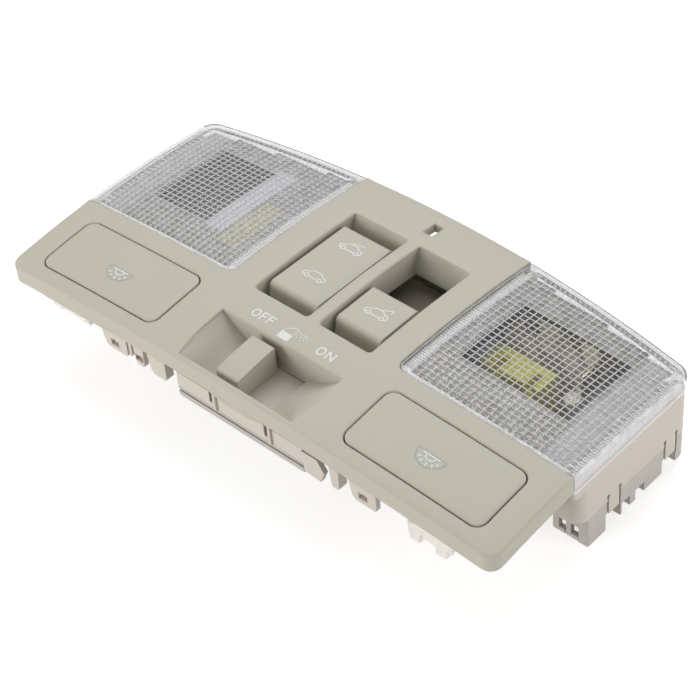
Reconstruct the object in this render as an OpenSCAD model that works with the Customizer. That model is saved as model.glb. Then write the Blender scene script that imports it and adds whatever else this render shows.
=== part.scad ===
// Car dome light: an overhead console with two lamps, two push buttons,
// two roof rockers and a three-position slide switch. It lies face up on the feet of its rear cover.

/* [Overall] */
// Length of the face, left to right
body_w = 236; // [220:1:260]
// Depth of the face, front to back
body_d = 118; // [112:1:126]
// Height from the feet to the top of the crown
body_h = 48; // [47:0.5:52]
// Crown radius along the length
crown_w_r = 1405; // [1200:5:2400]
// Crown radius along the depth
crown_d_r = 420; // [380:5:700]
// Radius of the curved back edge
back_r = 750; // [650:10:1200]
// Radius of the two front corners
front_corner_r = 5; // [3:0.5:8]
// Radius of the two back corners
back_corner_r = 6.4; // [5:0.2:12]

/* [Fascia] */
// Thickness of the fascia's skin
skin = 2.2; // [1.8:0.1:2.6]
// Depth of the skirt under the face
skirt_h = 7.2; // [6:0.1:9]
// Depth of the skirt along the back edge
back_skirt_h = 5; // [4:0.1:6]
// Thickness of the walls round pockets and windows
rib = 1.4; // [1:0.1:1.8]

/* [Lenses] */
// Distance of a lens's inner edge from the middle
lens_x = 40; // [37:0.5:42]
// Distance of the lenses from the front edge
lens_front = 42; // [40:0.5:44]
// Radius of a lens's inner front corner
lens_corner_r = 4; // [3:0.5:6]
// Wall thickness of the lenses
lens_t = 2; // [1.6:0.1:2.6]
// Gap between a lens and the fascia
lens_gap = 0.25; // [0.15:0.05:0.4]
// Depth of the lens rim under the top of the crown
lens_h = 14; // [13:0.5:15]
// Distance between the flutes of a lens
flute_pitch = 2.9; // [2.4:0.1:4]
// Depth of the flutes
flute_h = 0.35; // [0.2:0.05:0.5]

/* [Map buttons] */
// Distance of a button's inner edge from the middle of the face
button_in = 46; // [44:0.2:52]
// Distance of a button's outer edge from the end of the face
button_out = 11.2; // [9:0.2:18]
// Distance of a button from the front edge
button_front = 6.75; // [6:0.25:9]
// Depth of a button
button_d = 26.9; // [22:0.1:29]
// Corner radius of a button
button_r = 4; // [2.5:0.5:6]
// Gap round a button
button_gap = 0.5; // [0.3:0.05:0.8]
// How far a button is pressed
button_travel = 1.6; // [1:0.1:2]
// Diameter of a button's guide stem
stem_d = 5; // [4:0.2:6]
// Wire diameter of the return spring
wire_d = 0.6; // [0.4:0.1:0.8]

/* [Roof rockers] */
// Distance of both pockets from the front edge
pocket_in = 41.5; // [40.5:0.5:43]
// Distance of both pockets from the back edge
pocket_out = 21.7; // [20:0.1:24]
// Width of the left pocket
pocket_left_w = 26.4; // [25:0.2:28]
// Width of the right pocket
pocket_right_w = 24.4; // [23:0.2:26]
// Wall between the two pockets
pocket_web = 5.5; // [4:0.5:7]
// Depth of the pocket walls
pocket_h = 12; // [10:0.5:13]
// Gap between a rocker and the sides of its pocket
rocker_gap = 1.6; // [1.2:0.1:2.4]
// How far a rocker's top lies under the face
rocker_sink = 1.4; // [0.5:0.1:2.5]
// Space behind the long rocker's top
long_rocker_end = 6.9; // [5.5:0.1:10]
// Length of the short rocker's top
short_rocker_d = 21; // [18:0.5:23]
// Diameter of the rocker pins
rocker_pin_d = 3; // [2.5:0.1:3.6]

/* [Slide switch] */
// Length of the scooped recess
recess_w = 58; // [52:0.5:62]
// Distance of the recess from the front edge
recess_in = 2.5; // [2.2:0.1:4]
// Depth of the recess, front to back
recess_d = 24.2; // [22:0.1:25]
// Depth of the recess under the crown
recess_h = 14; // [12:0.5:14.5]
// Width of the window in the recess floor
window_w = 24.4; // [22:0.2:28]
// Width of the knob
knob_w = 10.9; // [9:0.1:12]
// Length of the knob, front to back
knob_d = 19.6; // [17:0.1:20.5]
// Distance between two switch positions
detent_pitch = 6.2; // [5:0.1:6.4]

/* [Housing] */
// Wall thickness of the housing and the rear cover
wall = 2; // [1.6:0.1:2.4]
// Lower edge of the housing above the feet
housing_z = 14; // [13:0.5:15]
// Height of the recess floor over the underside of the shallow front box
front_box_h = 8.8; // [8.4:0.1:9.6]
// Length of the shallow front box
front_box_w = 62; // [60:0.5:68]
// Distance of the housing's middle part from the back edge
middle_out = 16; // [15:0.5:17]
// Floor height of the rear cover
cover_floor_z = 8; // [7:0.5:9]
// Radius of the housing's outer front corners
box_corner_r = 5; // [4:0.5:8]
// How far the housing's walls stand behind the front edge of the lenses
set_back = 3; // [2:0.1:4]
// Radius of the holes for the two roof screws
screw_hole_r = 2.3; // [2:0.1:2.6]
// Distance of the two roof screws from the ends of the face
screw_in = 18; // [16:0.5:22]

/* [Lamps] */
// Length of a reflector's bowl
bowl_w = 46; // [40:0.5:50]
// Depth of a reflector's bowl
bowl_d = 38; // [34:0.5:42]
// Diameter of a bulb
bulb_d = 10; // [8:0.5:11]
// Length of a bulb's glass
bulb_l = 26; // [20:0.5:28]

/* [Hidden] */
$fn = 48;

greige = [0.74, 0.72, 0.67];
beige = [0.79, 0.75, 0.70];
grey = [0.71, 0.70, 0.69];
clear = [0.85, 0.9, 0.93, 0.45];
half_w = body_w / 2;
half_d = body_d / 2;
fit = 0.1;           // clearance of a fixed seat
ease = 0.04;         // how far the back corners' circles reach past the straight sides
run = 0.05;          // radial clearance of a pin that turns
lap = 0.2;           // how far joined walls run into each other
fine = 256;          // facets of the large arcs
tall = body_h + 10;

// Height of the crowned face over a point of the plan
function crown_z(x, y) = body_h - x * x / (2 * crown_w_r) - y * y / (2 * crown_d_r);

lens_y = lens_front - half_d;
rim_z = body_h - lens_h;
button_w = half_w - button_in - button_out;
button_x = button_in + button_w / 2;
button_y = button_front + button_d / 2 - half_d;
pocket_front = pocket_in - half_d;
pocket_back = half_d - pocket_out;
pocket_d = pocket_back - pocket_front;
right_pocket_x0 = pocket_web - 1.1;
pocket_left_x = -1.1 - pocket_left_w / 2;
pocket_right_x = right_pocket_x0 + pocket_right_w / 2;
rocker_clear = 6;    // space in front of a rocker's top
recess_y = recess_in + recess_d / 2 - half_d;
recess_back = recess_y + recess_d / 2;
recess_floor = body_h - recess_h;
front_z = recess_floor - front_box_h;
middle_back = half_d - middle_out;
scoop_drop = recess_floor - crown_z(recess_w / 2, recess_y);
scoop_r = (pow(recess_w / 2, 2) + scoop_drop * scoop_drop) / (-2 * scoop_drop);
scoop_z = recess_floor + scoop_r;
knob_x = -detent_pitch;
plate_t = 1.2;
plate_w = window_w + 2 * detent_pitch + 3;
front_box_y = -half_d + skin + 0.2;
floor_z = housing_z + wall;
side_in = 0.6;       // how far the housing's sides lie inside the face
flange_h = 4.6;      // height of the rim under the lenses
cover_back = 7.8;    // how far the rear cover's front lies behind the lenses
front_floor_z = front_z + 1.6;
cover_top = housing_z - fit;
base_front = lens_y + 3;
base_d = middle_back - 5 - base_front;
screw_x = half_w - screw_in;
screw_y = half_d - 13.5;
slope_d = 3.8;
slope_h = 8;
post_x = 34;
post_r = 2.8;
base_w = 2 * (post_x - post_r - 1.2);
screw_core_r = 1.25;
screw_r = 1.5;
screw_clear = 0.2;
rocker_pin_z = body_h - 9.5;
base_top = body_h - 17.5;
slide_top = recess_floor - 1.5;
board_z = cover_floor_z + wall + 1;
board_t = 1.6;
connector_x = 0;
connector_y = (lens_y + middle_back) / 2 + 8;
plug_w = 25;
plug_d = 12;
carrier_h = 12.5;
carrier_t = 1.5;
carrier_grow = button_gap + rib + 0.4;
stem_dx = button_w / 2 - 10.4;
stem_fit = 0.15;
well_r = 2.7;
spring_turns = 3;
bowl_x = lens_x + 28.5;
bowl_y = half_d - 32;
bowl_r = 20;
bowl_t = 1.2;
bowl_z = floor_z + bowl_r + bowl_t - 0.3;
bulb_z = bowl_z - bowl_r + 12;
bulb_y = bowl_y + 7;
holder_top = rim_z;

// The crowned solid between two depths under the face
module crown(top, bottom) {
  translate([0, 0, body_h - crown_d_r]) rotate([0, 90, 0]) rotate([0, 0, 165])
    rotate_extrude(angle = 30, $fn = fine * 2) intersection() {
      difference() {
        translate([crown_d_r - crown_w_r, 0]) circle(r = crown_w_r - top, $fn = fine * 2);
        translate([crown_d_r - crown_w_r, 0]) circle(r = crown_w_r - bottom, $fn = fine * 2);
      }
      translate([crown_d_r - bottom - 30, -half_w - 8]) square([bottom + 40, body_w + 16]);
    }
}

// A flat shape drawn up through the crown, kept between two depths
module crowned(top, bottom) {
  intersection() {
    linear_extrude(tall) children();
    crown(top, bottom);
  }
}

// A flat shape that stands on z0 and ends at a depth under the face
module up_to_crown(z0, depth) {
  intersection() {
    translate([0, 0, z0]) linear_extrude(tall - z0) children();
    crown(depth, body_h + 5);
  }
}

module slab(z0, z1) {
  translate([0, 0, z0]) linear_extrude(z1 - z0) children();
}

module round_rect(w, d, r) {
  square([w - 2 * r, d], center = true);
  square([w, d - 2 * r], center = true);
  for (sx = [-1, 1], sy = [-1, 1])
    translate([sx * (w / 2 - r), sy * (d / 2 - r)]) circle(r = r);
}

module right_or_left(side) {
  mirror([side < 0 ? 1 : 0, 0, 0]) children();
}

// Outline of the whole face, drawn in by inset
module plan(inset = 0) {
  w = half_w - inset;
  d = half_d - inset;
  arc = back_r - inset;
  arc_y = half_d - back_r;
  rf = max(front_corner_r - inset, 0.8);
  rb = max(back_corner_r - inset, 0.8);
  in = rb - ease;
  corner = [w - in, arc_y + sqrt(pow(arc - in, 2) - pow(w - in, 2))];
  way = (corner - [0, arc_y]) / (arc - in);
  far = rb + 12;
  difference() {
    intersection() {
      union() {
        translate([-w, -d + rf]) square([2 * w, 2 * d]);
        translate([-w + rf, -d]) square([2 * (w - rf), 2 * d]);
        for (s = [-1, 1]) translate([s * (w - rf), -d + rf]) circle(r = rf);
      }
      translate([0, arc_y]) circle(r = arc, $fn = fine);
    }
    for (s = [0, 1]) mirror([s, 0]) difference() {
      polygon([corner, corner + [far, 0], corner + [far, far], corner + far * way]);
      translate(corner) circle(r = rb);
    }
  }
}

// Corner of the face that the right lens takes, widened by grow
module lens_zone(grow = 0) {
  r = lens_corner_r + grow;
  translate([lens_x - grow + r, lens_y - grow + r]) {
    translate([0, -r]) square([half_w, body_d]);
    translate([-r, 0]) square([half_w, body_d]);
    circle(r = r);
  }
}

// T-shaped outline of the fascia
module fascia_plan(inset = 0) {
  difference() {
    plan(inset);
    for (s = [0, 1]) mirror([s, 0]) lens_zone(inset);
  }
}

module button_plan(grow = 0) {
  translate([button_x, button_y])
    round_rect(button_w + 2 * grow, button_d + 2 * grow, button_r + grow);
}

module pocket_plan(x, w, grow = 0) {
  translate([x, pocket_front + pocket_d / 2]) round_rect(w + 2 * grow, pocket_d + 2 * grow, 1.5 + grow);
}

module recess_plan(grow = 0) {
  translate([0, recess_y]) square([recess_w + 2 * grow, recess_d + 2 * grow], center = true);
}

// The scoop's round sweep, widened by grow
module scoop(grow = 0) {
  translate([0, 0, scoop_z]) rotate([90, 0, 0])
    cylinder(r = scoop_r + grow, h = body_d * 2, center = true, $fn = fine);
}

// Small slot near the back edge of the middle
module mic_plan(grow = 0) {
  translate([1.4, half_d - 10.8]) square([4.2 + 2 * grow, 6.6 + 2 * grow], center = true);
}

// Sloped back wall of a pocket
module pocket_slope(x, w) {
  rim = crown_z(0, pocket_back);
  intersection() {
    translate([x - w / 2, 0, 0]) rotate([90, 0, 90]) linear_extrude(w) polygon([
      [pocket_back + 1, rim + 2], [pocket_back + 0.6, rim + 2], [pocket_back - slope_d, rim - slope_h],
      [pocket_back - slope_d, rim - pocket_h + 1], [pocket_back + 1, rim - pocket_h + 1]]);
    crown(0, pocket_h);
  }
}

module post_spots() {
  for (x = [-post_x, post_x], y = [lens_y + 8, middle_back - 8]) translate([x, y]) children();
}

module fascia() {
  color(greige) difference() {
    union() {
      crowned(0, skin) fascia_plan();
      crowned(skin - lap, skirt_h) difference() {
        fascia_plan();
        fascia_plan(skin);
      }
      for (s = [0, 1]) mirror([s, 0]) crowned(skin - lap, 6) difference() {
        button_plan(button_gap + rib);
        button_plan(button_gap);
      }
      crowned(skin - lap, pocket_h) intersection() {
        difference() {
          union() {
            pocket_plan(pocket_left_x, pocket_left_w, rib);
            pocket_plan(pocket_right_x, pocket_right_w, rib);
          }
          pocket_plan(pocket_left_x, pocket_left_w);
          pocket_plan(pocket_right_x, pocket_right_w);
        }
        plan(skin);
      }
      intersection() {
        up_to_crown(recess_floor - 1, skin - lap) recess_plan(rib);
        scoop(rib);
        slab(0, tall) plan();
      }
      crowned(skin - lap, 4) mic_plan(1);
      up_to_crown(floor_z, skin - lap) post_spots() circle(r = post_r);
      pocket_slope(pocket_left_x, pocket_left_w);
      pocket_slope(pocket_right_x, pocket_right_w);
    }
    post_spots() cylinder(r = screw_core_r, h = floor_z + 9);
    for (s = [0, 1]) mirror([s, 0]) slab(0, tall) button_plan(button_gap);
    difference() {
      slab(0, tall) {
        pocket_plan(pocket_left_x, pocket_left_w);
        pocket_plan(pocket_right_x, pocket_right_w);
      }
      pocket_slope(pocket_left_x, pocket_left_w + 1);
      pocket_slope(pocket_right_x, pocket_right_w + 1);
    }
    intersection() {
      slab(0, tall) recess_plan();
      scoop();
    }
    slab(0, tall) translate([0, recess_y]) square([window_w, recess_d - 1.6], center = true);
    slab(0, tall) mic_plan();
    crowned(back_skirt_h, skirt_h + 1) translate([0, half_d]) square([2 * lens_x + 4, 9], center = true);
  }
}

module lens_plan(inset = 0) {
  intersection() {
    plan(inset);
    lens_zone(-lens_gap - inset);
  }
}

// Clear cover with a crowned top, a wall all round and flutes on both faces
module lens(side) {
  first = lens_x + 7;
  across = half_w - 6 - first;
  columns = floor(across / flute_pitch);
  front = lens_y + 6;
  rows = floor((half_d - 14 - front) / flute_pitch);
  color(clear) right_or_left(side) difference() {
    union() {
      crowned(0, lens_t) lens_plan();
      up_to_crown(rim_z, lens_t - lap) difference() {
        lens_plan();
        lens_plan(lens_t);
      }
      crowned(lens_t - lap, lens_t + flute_h) for (k = [0 : rows])
        translate([first, front + k * flute_pitch]) square([across, flute_pitch * 0.25]);
    }
    crowned(-1, flute_h) for (k = [0 : columns])
      translate([first + k * flute_pitch, front]) square([flute_pitch * 0.2, rows * flute_pitch]);
  }
}

// Outline of the right lamp chamber: its front lies back mm behind the lens, with a corner of radius c
module chamber_plan(inset = 0, back = set_back, c = box_corner_r) {
  r = c - min(inset, c - 0.6);
  x = half_w - side_in - inset;
  y = lens_y + lens_gap + side_in + back + inset;
  intersection() {
    lens_plan(inset + side_in);
    union() {
      translate([x - r, y + r]) circle(r = r);
      translate([0, y]) square([x - r, body_d]);
      translate([0, y + r]) square([half_w, body_d]);
    }
  }
}

module middle_plan(inset = 0) {
  translate([-lens_x - 2, lens_y + 1 + inset])
    square([2 * lens_x + 4, middle_back - lens_y - 1 - 2 * inset]);
}

module front_box_plan(inset = 0) {
  translate([-front_box_w / 2 + inset, front_box_y + inset])
    square([front_box_w - 2 * inset, lens_y + 3 - front_box_y - inset]);
}

module deep_plan(inset = 0, back = set_back, c = box_corner_r) {
  for (s = [0, 1]) mirror([s, 0]) chamber_plan(inset, back, c);
  middle_plan(inset);
}

// Spans of the two snap fingers along each side wall
fingers = [[lens_y + 20, lens_y + 26.6], [half_d - 23.5, half_d - 16.9]];
finger_z = 7.4;

module roof_screw_spots() {
  for (s = [-1, 1]) translate([s * screw_x, screw_y]) children();
}

module finger_slots() {
  for (f = fingers, e = f, s = [-1, 1]) translate([s * (half_w - wall - side_in), e, 0]) {
    translate([-3, -0.4, 0]) cube([wall + 6, 0.8, housing_z + 2.4]);
    translate([0, 0, housing_z + 2.4]) rotate([0, 90, 0]) cylinder(r = 0.8, h = wall + 6, center = true);
  }
}

module housing() {
  color(beige) difference() {
    union() {
      for (s = [0, 1]) mirror([s, 0]) {
        slab(housing_z, rim_z - flange_h + lap) difference() {
          chamber_plan();
          chamber_plan(wall);
        }
        slab(rim_z - flange_h, rim_z - fit) difference() {
          chamber_plan(0, 0, 2);
          chamber_plan(wall);
        }
      }
      slab(housing_z, floor_z) deep_plan();
      slab(housing_z, rim_z - 4) difference() {
        middle_plan();
        middle_plan(wall);
      }
      slab(front_z, front_floor_z) front_box_plan();
      slab(front_z, slide_top) difference() {
        front_box_plan();
        front_box_plan(wall);
      }
      for (f = fingers, s = [-1, 1])
        translate([s * (half_w - side_in - wall / 2) - wall / 2, f[0], finger_z])
          cube([wall, f[1] - f[0], housing_z - finger_z + 1]);
      translate([front_box_w / 2 - 1, front_box_y + wall, 0]) rotate([90, 0, 0]) linear_extrude(wall)
        polygon([[0, front_z], [1 + fit, front_z], [1 + fit, front_z - 3.4], [9, front_z - 4],
          [11, front_z + 1], [8, front_z + 6], [0, front_z + 6]]);
      roof_screw_spots() translate([0, 0, housing_z]) cylinder(r = screw_hole_r + wall, h = wall + 4);
    }
    finger_slots();
    scoop(rib + fit);
    for (x = [-12.6, 14.6])
      translate([x - 1.9, front_box_y - 1, front_floor_z + 0.6]) cube([3.8, wall + 2, 8]);
    roof_screw_spots() cylinder(r = screw_hole_r, h = tall);
    post_spots() cylinder(r = screw_r + screw_clear, h = tall);
    slab(0, tall) translate([-base_w / 2 + 5, base_front + 4]) square([base_w - 10, base_d - 8]);
  }
}

// Feet of the rear cover: span along a side wall, height of the lower edge and depth of the ribs
side_teeth = [[lens_y + 8.8, lens_y + 18.8, 0, 4.1], [lens_y + 27.1, lens_y + 28, 0.8, 3.6],
              [lens_y + 32.6, lens_y + 35.8, 1.3, 2.9], [half_d - 35.2, half_d - 24.7, 1.7, 3.2],
              [half_d - 16.9, half_d - 11.4, 1.8, 3.1]];
// Small front feet: start and end, and the start of the hole in their face, from the end of the face
front_teeth = [[15.8, 10.6, 13.2], [10.1, 4.7, 8]];

module rear_cover() {
  step = lens_y + 1;
  front = lens_y + lens_gap + side_in + cover_back + fit;
  color(grey) difference() {
    union() {
      slab(cover_floor_z, cover_floor_z + wall) intersection() {
        deep_plan(fit, cover_back, 1);
        plan(0.9);
      }
      slab(cover_floor_z, cover_top) difference() {
        deep_plan(fit, cover_back, 1);
        deep_plan(wall + fit, cover_back, 1);
      }
      difference() {
        slab(front_z - 4.4, front_z - fit) intersection() {
          front_box_plan();
          translate([-half_w, -half_d]) square([body_w, half_d + step - fit]);
        }
        slab(front_z - 2.3, front_z - 1.1) difference() {
          front_box_plan(-1);
          front_box_plan(1.5);
        }
      }
      translate([-front_box_w / 2, step - wall, cover_floor_z]) {
        cube([front_box_w, wall - fit, front_z - fit - cover_floor_z]);
        cube([front_box_w, wall + 1, cover_top - cover_floor_z]);
      }
      for (s = [0, 1]) mirror([s, 0, 0]) {
        intersection() {
          union() {
            translate([half_w - wall - 1, lens_y + 28, cover_floor_z - 2])
              cube([wall + 1, half_d - 24.7 - lens_y - 28, 4]);
            for (t = side_teeth) {
              translate([half_w - wall - 1, t[0], t[2]]) cube([wall + 1, t[1] - t[0], cover_top - t[2]]);
              for (y = [t[0], t[1] - 0.9])
                translate([half_w - side_in - t[3], y, t[2]]) cube([t[3] + 1, 0.9, cover_floor_z - t[2] + 1]);
            }
          }
          slab(0, tall) chamber_plan(fit, cover_back, 1);
        }
        for (t = front_teeth) difference() {
          translate([half_w - t[0], front, 0.4]) cube([t[0] - t[1], wall, cover_floor_z + 1]);
          translate([half_w - t[2], front - 1, 2.2]) cube([t[2] - t[1] + 0.1, wall + 2, 5.2]);
        }
      }
      roof_screw_spots() cylinder(r = screw_hole_r + wall, h = cover_top);
      post_spots() {
        translate([0, 0, cover_floor_z]) cylinder(r = post_r, h = cover_top - cover_floor_z);
        translate([0, 0, cover_floor_z]) cylinder(r = post_r + 1.2, h = board_z - fit / 2 - cover_floor_z);
      }
    }
    for (f = fingers, s = [-1, 1])
      translate([s * (half_w - wall / 2), f[0] - 0.6, finger_z - 1] - [wall / 2 + 1, 0, 0])
        cube([wall + 2, f[1] - f[0] + 1.2, housing_z]);
    roof_screw_spots() cylinder(r = screw_hole_r, h = tall);
    translate([connector_x, connector_y, 0]) translate([-plug_w / 2 - 0.6, -plug_d / 2 - 0.6, 0])
      cube([plug_w + 1.2, plug_d + 1.2, cover_floor_z + wall + 1]);
    post_spots() cylinder(r = screw_r + screw_clear, h = tall);
  }
}

// Tray under a lens with a round trough for the bulb
module reflector(side) {
  flange = rim_z - 2.6;
  color([0.82, 0.82, 0.83]) right_or_left(side) difference() {
    union() {
      slab(flange, flange + 1.2) chamber_plan(wall + 0.3);
      intersection() {
        translate([bowl_x, bowl_y, bowl_z]) rotate([0, 90, 0])
          cylinder(r = bowl_r + bowl_t, h = bowl_w + 2 * bowl_t, center = true);
        slab(floor_z, flange + 1.2) intersection() {
          chamber_plan(wall + 0.3);
          translate([bowl_x, bowl_y]) square([bowl_w + 9, bowl_d + 9], center = true);
        }
      }
    }
    translate([bowl_x, bowl_y, bowl_z]) rotate([0, 90, 0]) cylinder(r = bowl_r, h = bowl_w, center = true);
    translate([screw_x, screw_y, floor_z + 6]) cylinder(r = screw_hole_r + wall + 0.4, h = tall);
  }
}

// Space over the reflector's trough, in which a piece can lie on it
module in_trough(side) {
  right_or_left(side) intersection() {
    children();
    translate([bowl_x, bowl_y, bowl_z]) rotate([0, 90, 0])
      cylinder(r = bowl_r - fit / 2, h = bowl_w - fit, center = true);
  }
}

module bulb_holder(side) {
  color([0.78, 0.80, 0.30]) in_trough(side) difference() {
    translate([bowl_x - 20, bowl_y - 13, floor_z]) cube([30, 11, holder_top - floor_z]);
    for (x = [-12, 3]) translate([bowl_x + x, bowl_y - 14, holder_top - 5]) cube([4, 8, 6]);
  }
}

// Tubular bulb with a cap and a tip at each end
module bulb(side) {
  cap = 4;
  color([0.9, 0.92, 0.95, 0.6]) right_or_left(side)
    translate([bowl_x, bulb_y, bulb_z]) rotate([0, 90, 0]) {
      cylinder(r = bulb_d / 2, h = bulb_l, center = true);
      for (s = [0, 1]) mirror([0, 0, s]) translate([0, 0, bulb_l / 2 - lap]) {
        cylinder(r = bulb_d / 2 - 1, h = cap + lap);
        translate([0, 0, cap]) cylinder(r = 1.4, h = 1.6);
      }
    }
}

// Two springy brass arms that hold the bulb's ends
module contacts(side) {
  end = bulb_l / 2 + 4 + fit;
  arm = 0.8;
  color([0.72, 0.56, 0.36]) in_trough(side) difference() {
    for (s = [-1, 1]) {
      translate([bowl_x + s * (end + arm / 2) - arm / 2, bulb_y - 5, floor_z])
        cube([arm, 10, bulb_z - floor_z + 5.5]);
      translate([bowl_x + s * (end + 2) - 2, bulb_y - 5, floor_z]) cube([4, 10, 7]);
    }
    translate([bowl_x, bulb_y, bulb_z]) rotate([0, 90, 0]) cylinder(r = 1.6, h = 100, center = true);
  }
}

function depth_z(x, y, depth) = crown_z(x, y) - depth;

// Snap tabs under the front of each carrier: start and end, depth of the lower edge under the top of
// the crown, 1 for a catch hole, and thickness
tabs_left = [[4.4 - button_x, 17.8 - button_x, 25.4, 1, 1.6], [-button_in - 11.6, -button_in - 10, 24, 0, 1.6],
             [-button_in - 9, -button_in - 3.6, 25.7, 1, 2], [-button_in - 1.6, 8 - button_in, 25.6, 0, 3.6]];
tabs_right = [[button_in - 3.3, button_in + 1.2, 26.4, 0, 3.9], [button_in + 5.8, button_in + 18.4, 25.6, 1, 2]];

module snap_tab(t) {
  y = button_y - button_d / 2 - carrier_grow - rib;
  top = min(depth_z(t[0], y, carrier_h), depth_z(t[1], y, carrier_h)) + 1.2;
  mid = (t[0] + t[1]) / 2;
  cut = min(3, (t[1] - t[0]) / 3);
  low = body_h - t[2];
  translate([0, y + t[4], 0]) rotate([90, 0, 0]) linear_extrude(t[4]) difference() {
    polygon([[t[0], top], [t[0] + cut / 2, low + 1.6], [t[0] + cut, low],
      [t[1] - 0.8, low], [t[1], low + 0.8], [t[1], top]]);
    if (t[3] > 0) translate([mid - 1.8, low + 2]) square([4, 2.8]);
  }
}

module button_carrier(side) {
  x = side * button_x;
  color(beige) {
    difference() {
      union() {
        right_or_left(side) {
          crowned(skin + 0.05, carrier_h) difference() {
            button_plan(carrier_grow + rib);
            button_plan(carrier_grow);
          }
          crowned(carrier_h - carrier_t, carrier_h) button_plan(carrier_grow + lap);
          for (s = [-1, 1]) crowned(carrier_h - 4, carrier_h)
            translate([button_x + s * stem_dx, button_y]) circle(r = stem_d / 2 + 1.6);
        }
        for (t = side < 0 ? tabs_left : tabs_right) snap_tab(t);
      }
      for (s = [-1, 1]) translate([x + s * stem_dx, button_y, 0])
        cylinder(r = stem_d / 2 + stem_fit, h = tall);
    }
  }
}

// Clear bar under the carrier that lights the symbol, with hooked feet
module light_guide(side) {
  x0 = button_x + 2.1;
  w = 20;
  y = button_y - button_d / 2 - carrier_grow - rib;
  top = depth_z(x0 + w, y, carrier_h + 0.8);
  bar = top - (side < 0 ? 0.6 : 3.5);
  foot = bar - (side < 0 ? 0.8 : 3.7);
  color(clear) right_or_left(side) {
    crowned(carrier_h + 0.05, carrier_h + 1.6) translate([x0, y]) square([w, 12]);
    translate([x0, y, bar]) cube([w - 1, 1.6, top - bar + lap]);
    for (dx = side < 0 ? [16.1] : [0.5, 12.1]) translate([x0 + dx, y, foot]) cube([4.4, 1.9, bar - foot + lap]);
  }
}

module map_button(side) {
  post = stem_d / 2 - 0.3;
  color(greige) right_or_left(side) {
    crowned(0, 2) button_plan();
    crowned(2 - lap, 7) difference() {
      button_plan();
      button_plan(-1.5);
    }
    for (s = [-1, 1]) crowned(2 - lap, carrier_h + 1)
      translate([button_x + s * stem_dx, button_y]) circle(r = stem_d / 2);
    crowned(2 - lap, 7.5) translate([button_x, button_y]) circle(r = post);
  }
}

module push_switch(side) {
  color([0.16, 0.16, 0.17]) right_or_left(side) difference() {
    crowned(5.7, carrier_h - carrier_t - 0.05)
      translate([button_x, button_y]) square([11, 11], center = true);
    crowned(5, 10) translate([button_x, button_y]) circle(r = well_r);
  }
}

// Tube of polygons swept along a helix, for the return springs
module helix(r, wire, pitch, turns) {
  sides = 6;
  steps = 10 * turns;
  ring = [for (i = [0 : steps], k = [0 : sides - 1])
    let (a = 360 * i / 10, b = 360 * k / sides, d = r + wire / 2 * cos(b))
    [d * cos(a), d * sin(a), pitch * i / 10 + wire / 2 * sin(b)]];
  wallf = [for (i = [0 : steps - 1], k = [0 : sides - 1])
    let (p = i * sides + k, q = i * sides + (k + 1) % sides) [p, p + sides, q + sides, q]];
  start = [for (k = [0 : sides - 1]) k];
  stop = [for (k = [sides - 1 : -1 : 0]) steps * sides + k];
  polyhedron(points = ring, faces = concat(wallf, [start], [stop]));
}

module button_spring(side) {
  low = depth_z(button_x, button_y, 5.7) + wire_d / 2 + 0.25;
  high = depth_z(button_x, button_y, 2) - wire_d / 2 - 0.25;
  color([0.75, 0.76, 0.78]) right_or_left(side) translate([button_x, button_y, low])
    helix(stem_d / 2 + 0.9, wire_d, (high - low) / spring_turns, spring_turns);
}

// Side view of a rocker, in Y and Z, with its corners rounded
module rocker_side(front, length) {
  low = body_h - 15;
  offset(r = 2.2) offset(delta = -2.2) polygon([
    [front - 3.2, low], [front, crown_z(0, front) - rocker_sink],
    [front + length, crown_z(0, front + length) - rocker_sink], [front + length, low]]);
}

module rocker(x, w, front, length) {
  middle = front + length / 2;
  difference() {
    translate([x - w / 2, 0, 0]) rotate([90, 0, 90]) linear_extrude(w) rocker_side(front, length);
    translate([x - w / 2 + 1.8, 0, 0]) rotate([90, 0, 90]) linear_extrude(w - 3.6) polygon([
      [front - 1, 0], [front + 1.6, crown_z(0, front) - rocker_sink - 2.2],
      [front + length - 1.8, crown_z(0, front + length) - rocker_sink - 2.2], [front + length - 1.8, 0]]);
    translate([x, middle, rocker_pin_z]) rotate([0, 90, 0])
      cylinder(r = rocker_pin_d / 2, h = w + 2, center = true);
  }
}

module rocker_pin(x, w, y) {
  color([0.72, 0.73, 0.75]) translate([x, y, rocker_pin_z]) rotate([0, 90, 0])
    cylinder(r = rocker_pin_d / 2, h = w - 0.6, center = true);
}

left_rocker_w = pocket_left_w - 2 * rocker_gap;
right_rocker_w = pocket_right_w - 2 * rocker_gap;
left_rocker_y = pocket_front + rocker_clear + 0.4;
long_rocker_d = pocket_back - long_rocker_end - left_rocker_y;
right_rocker_y = pocket_front + rocker_clear + 1.4;
left_pin_y = left_rocker_y + long_rocker_d / 2;
right_pin_y = right_rocker_y + short_rocker_d / 2;

module slide_rocker() {
  color(greige) rocker(pocket_left_x, left_rocker_w, left_rocker_y, long_rocker_d);
}

module tilt_rocker() {
  color(greige) rocker(pocket_right_x, right_rocker_w, right_rocker_y, short_rocker_d);
}

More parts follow.
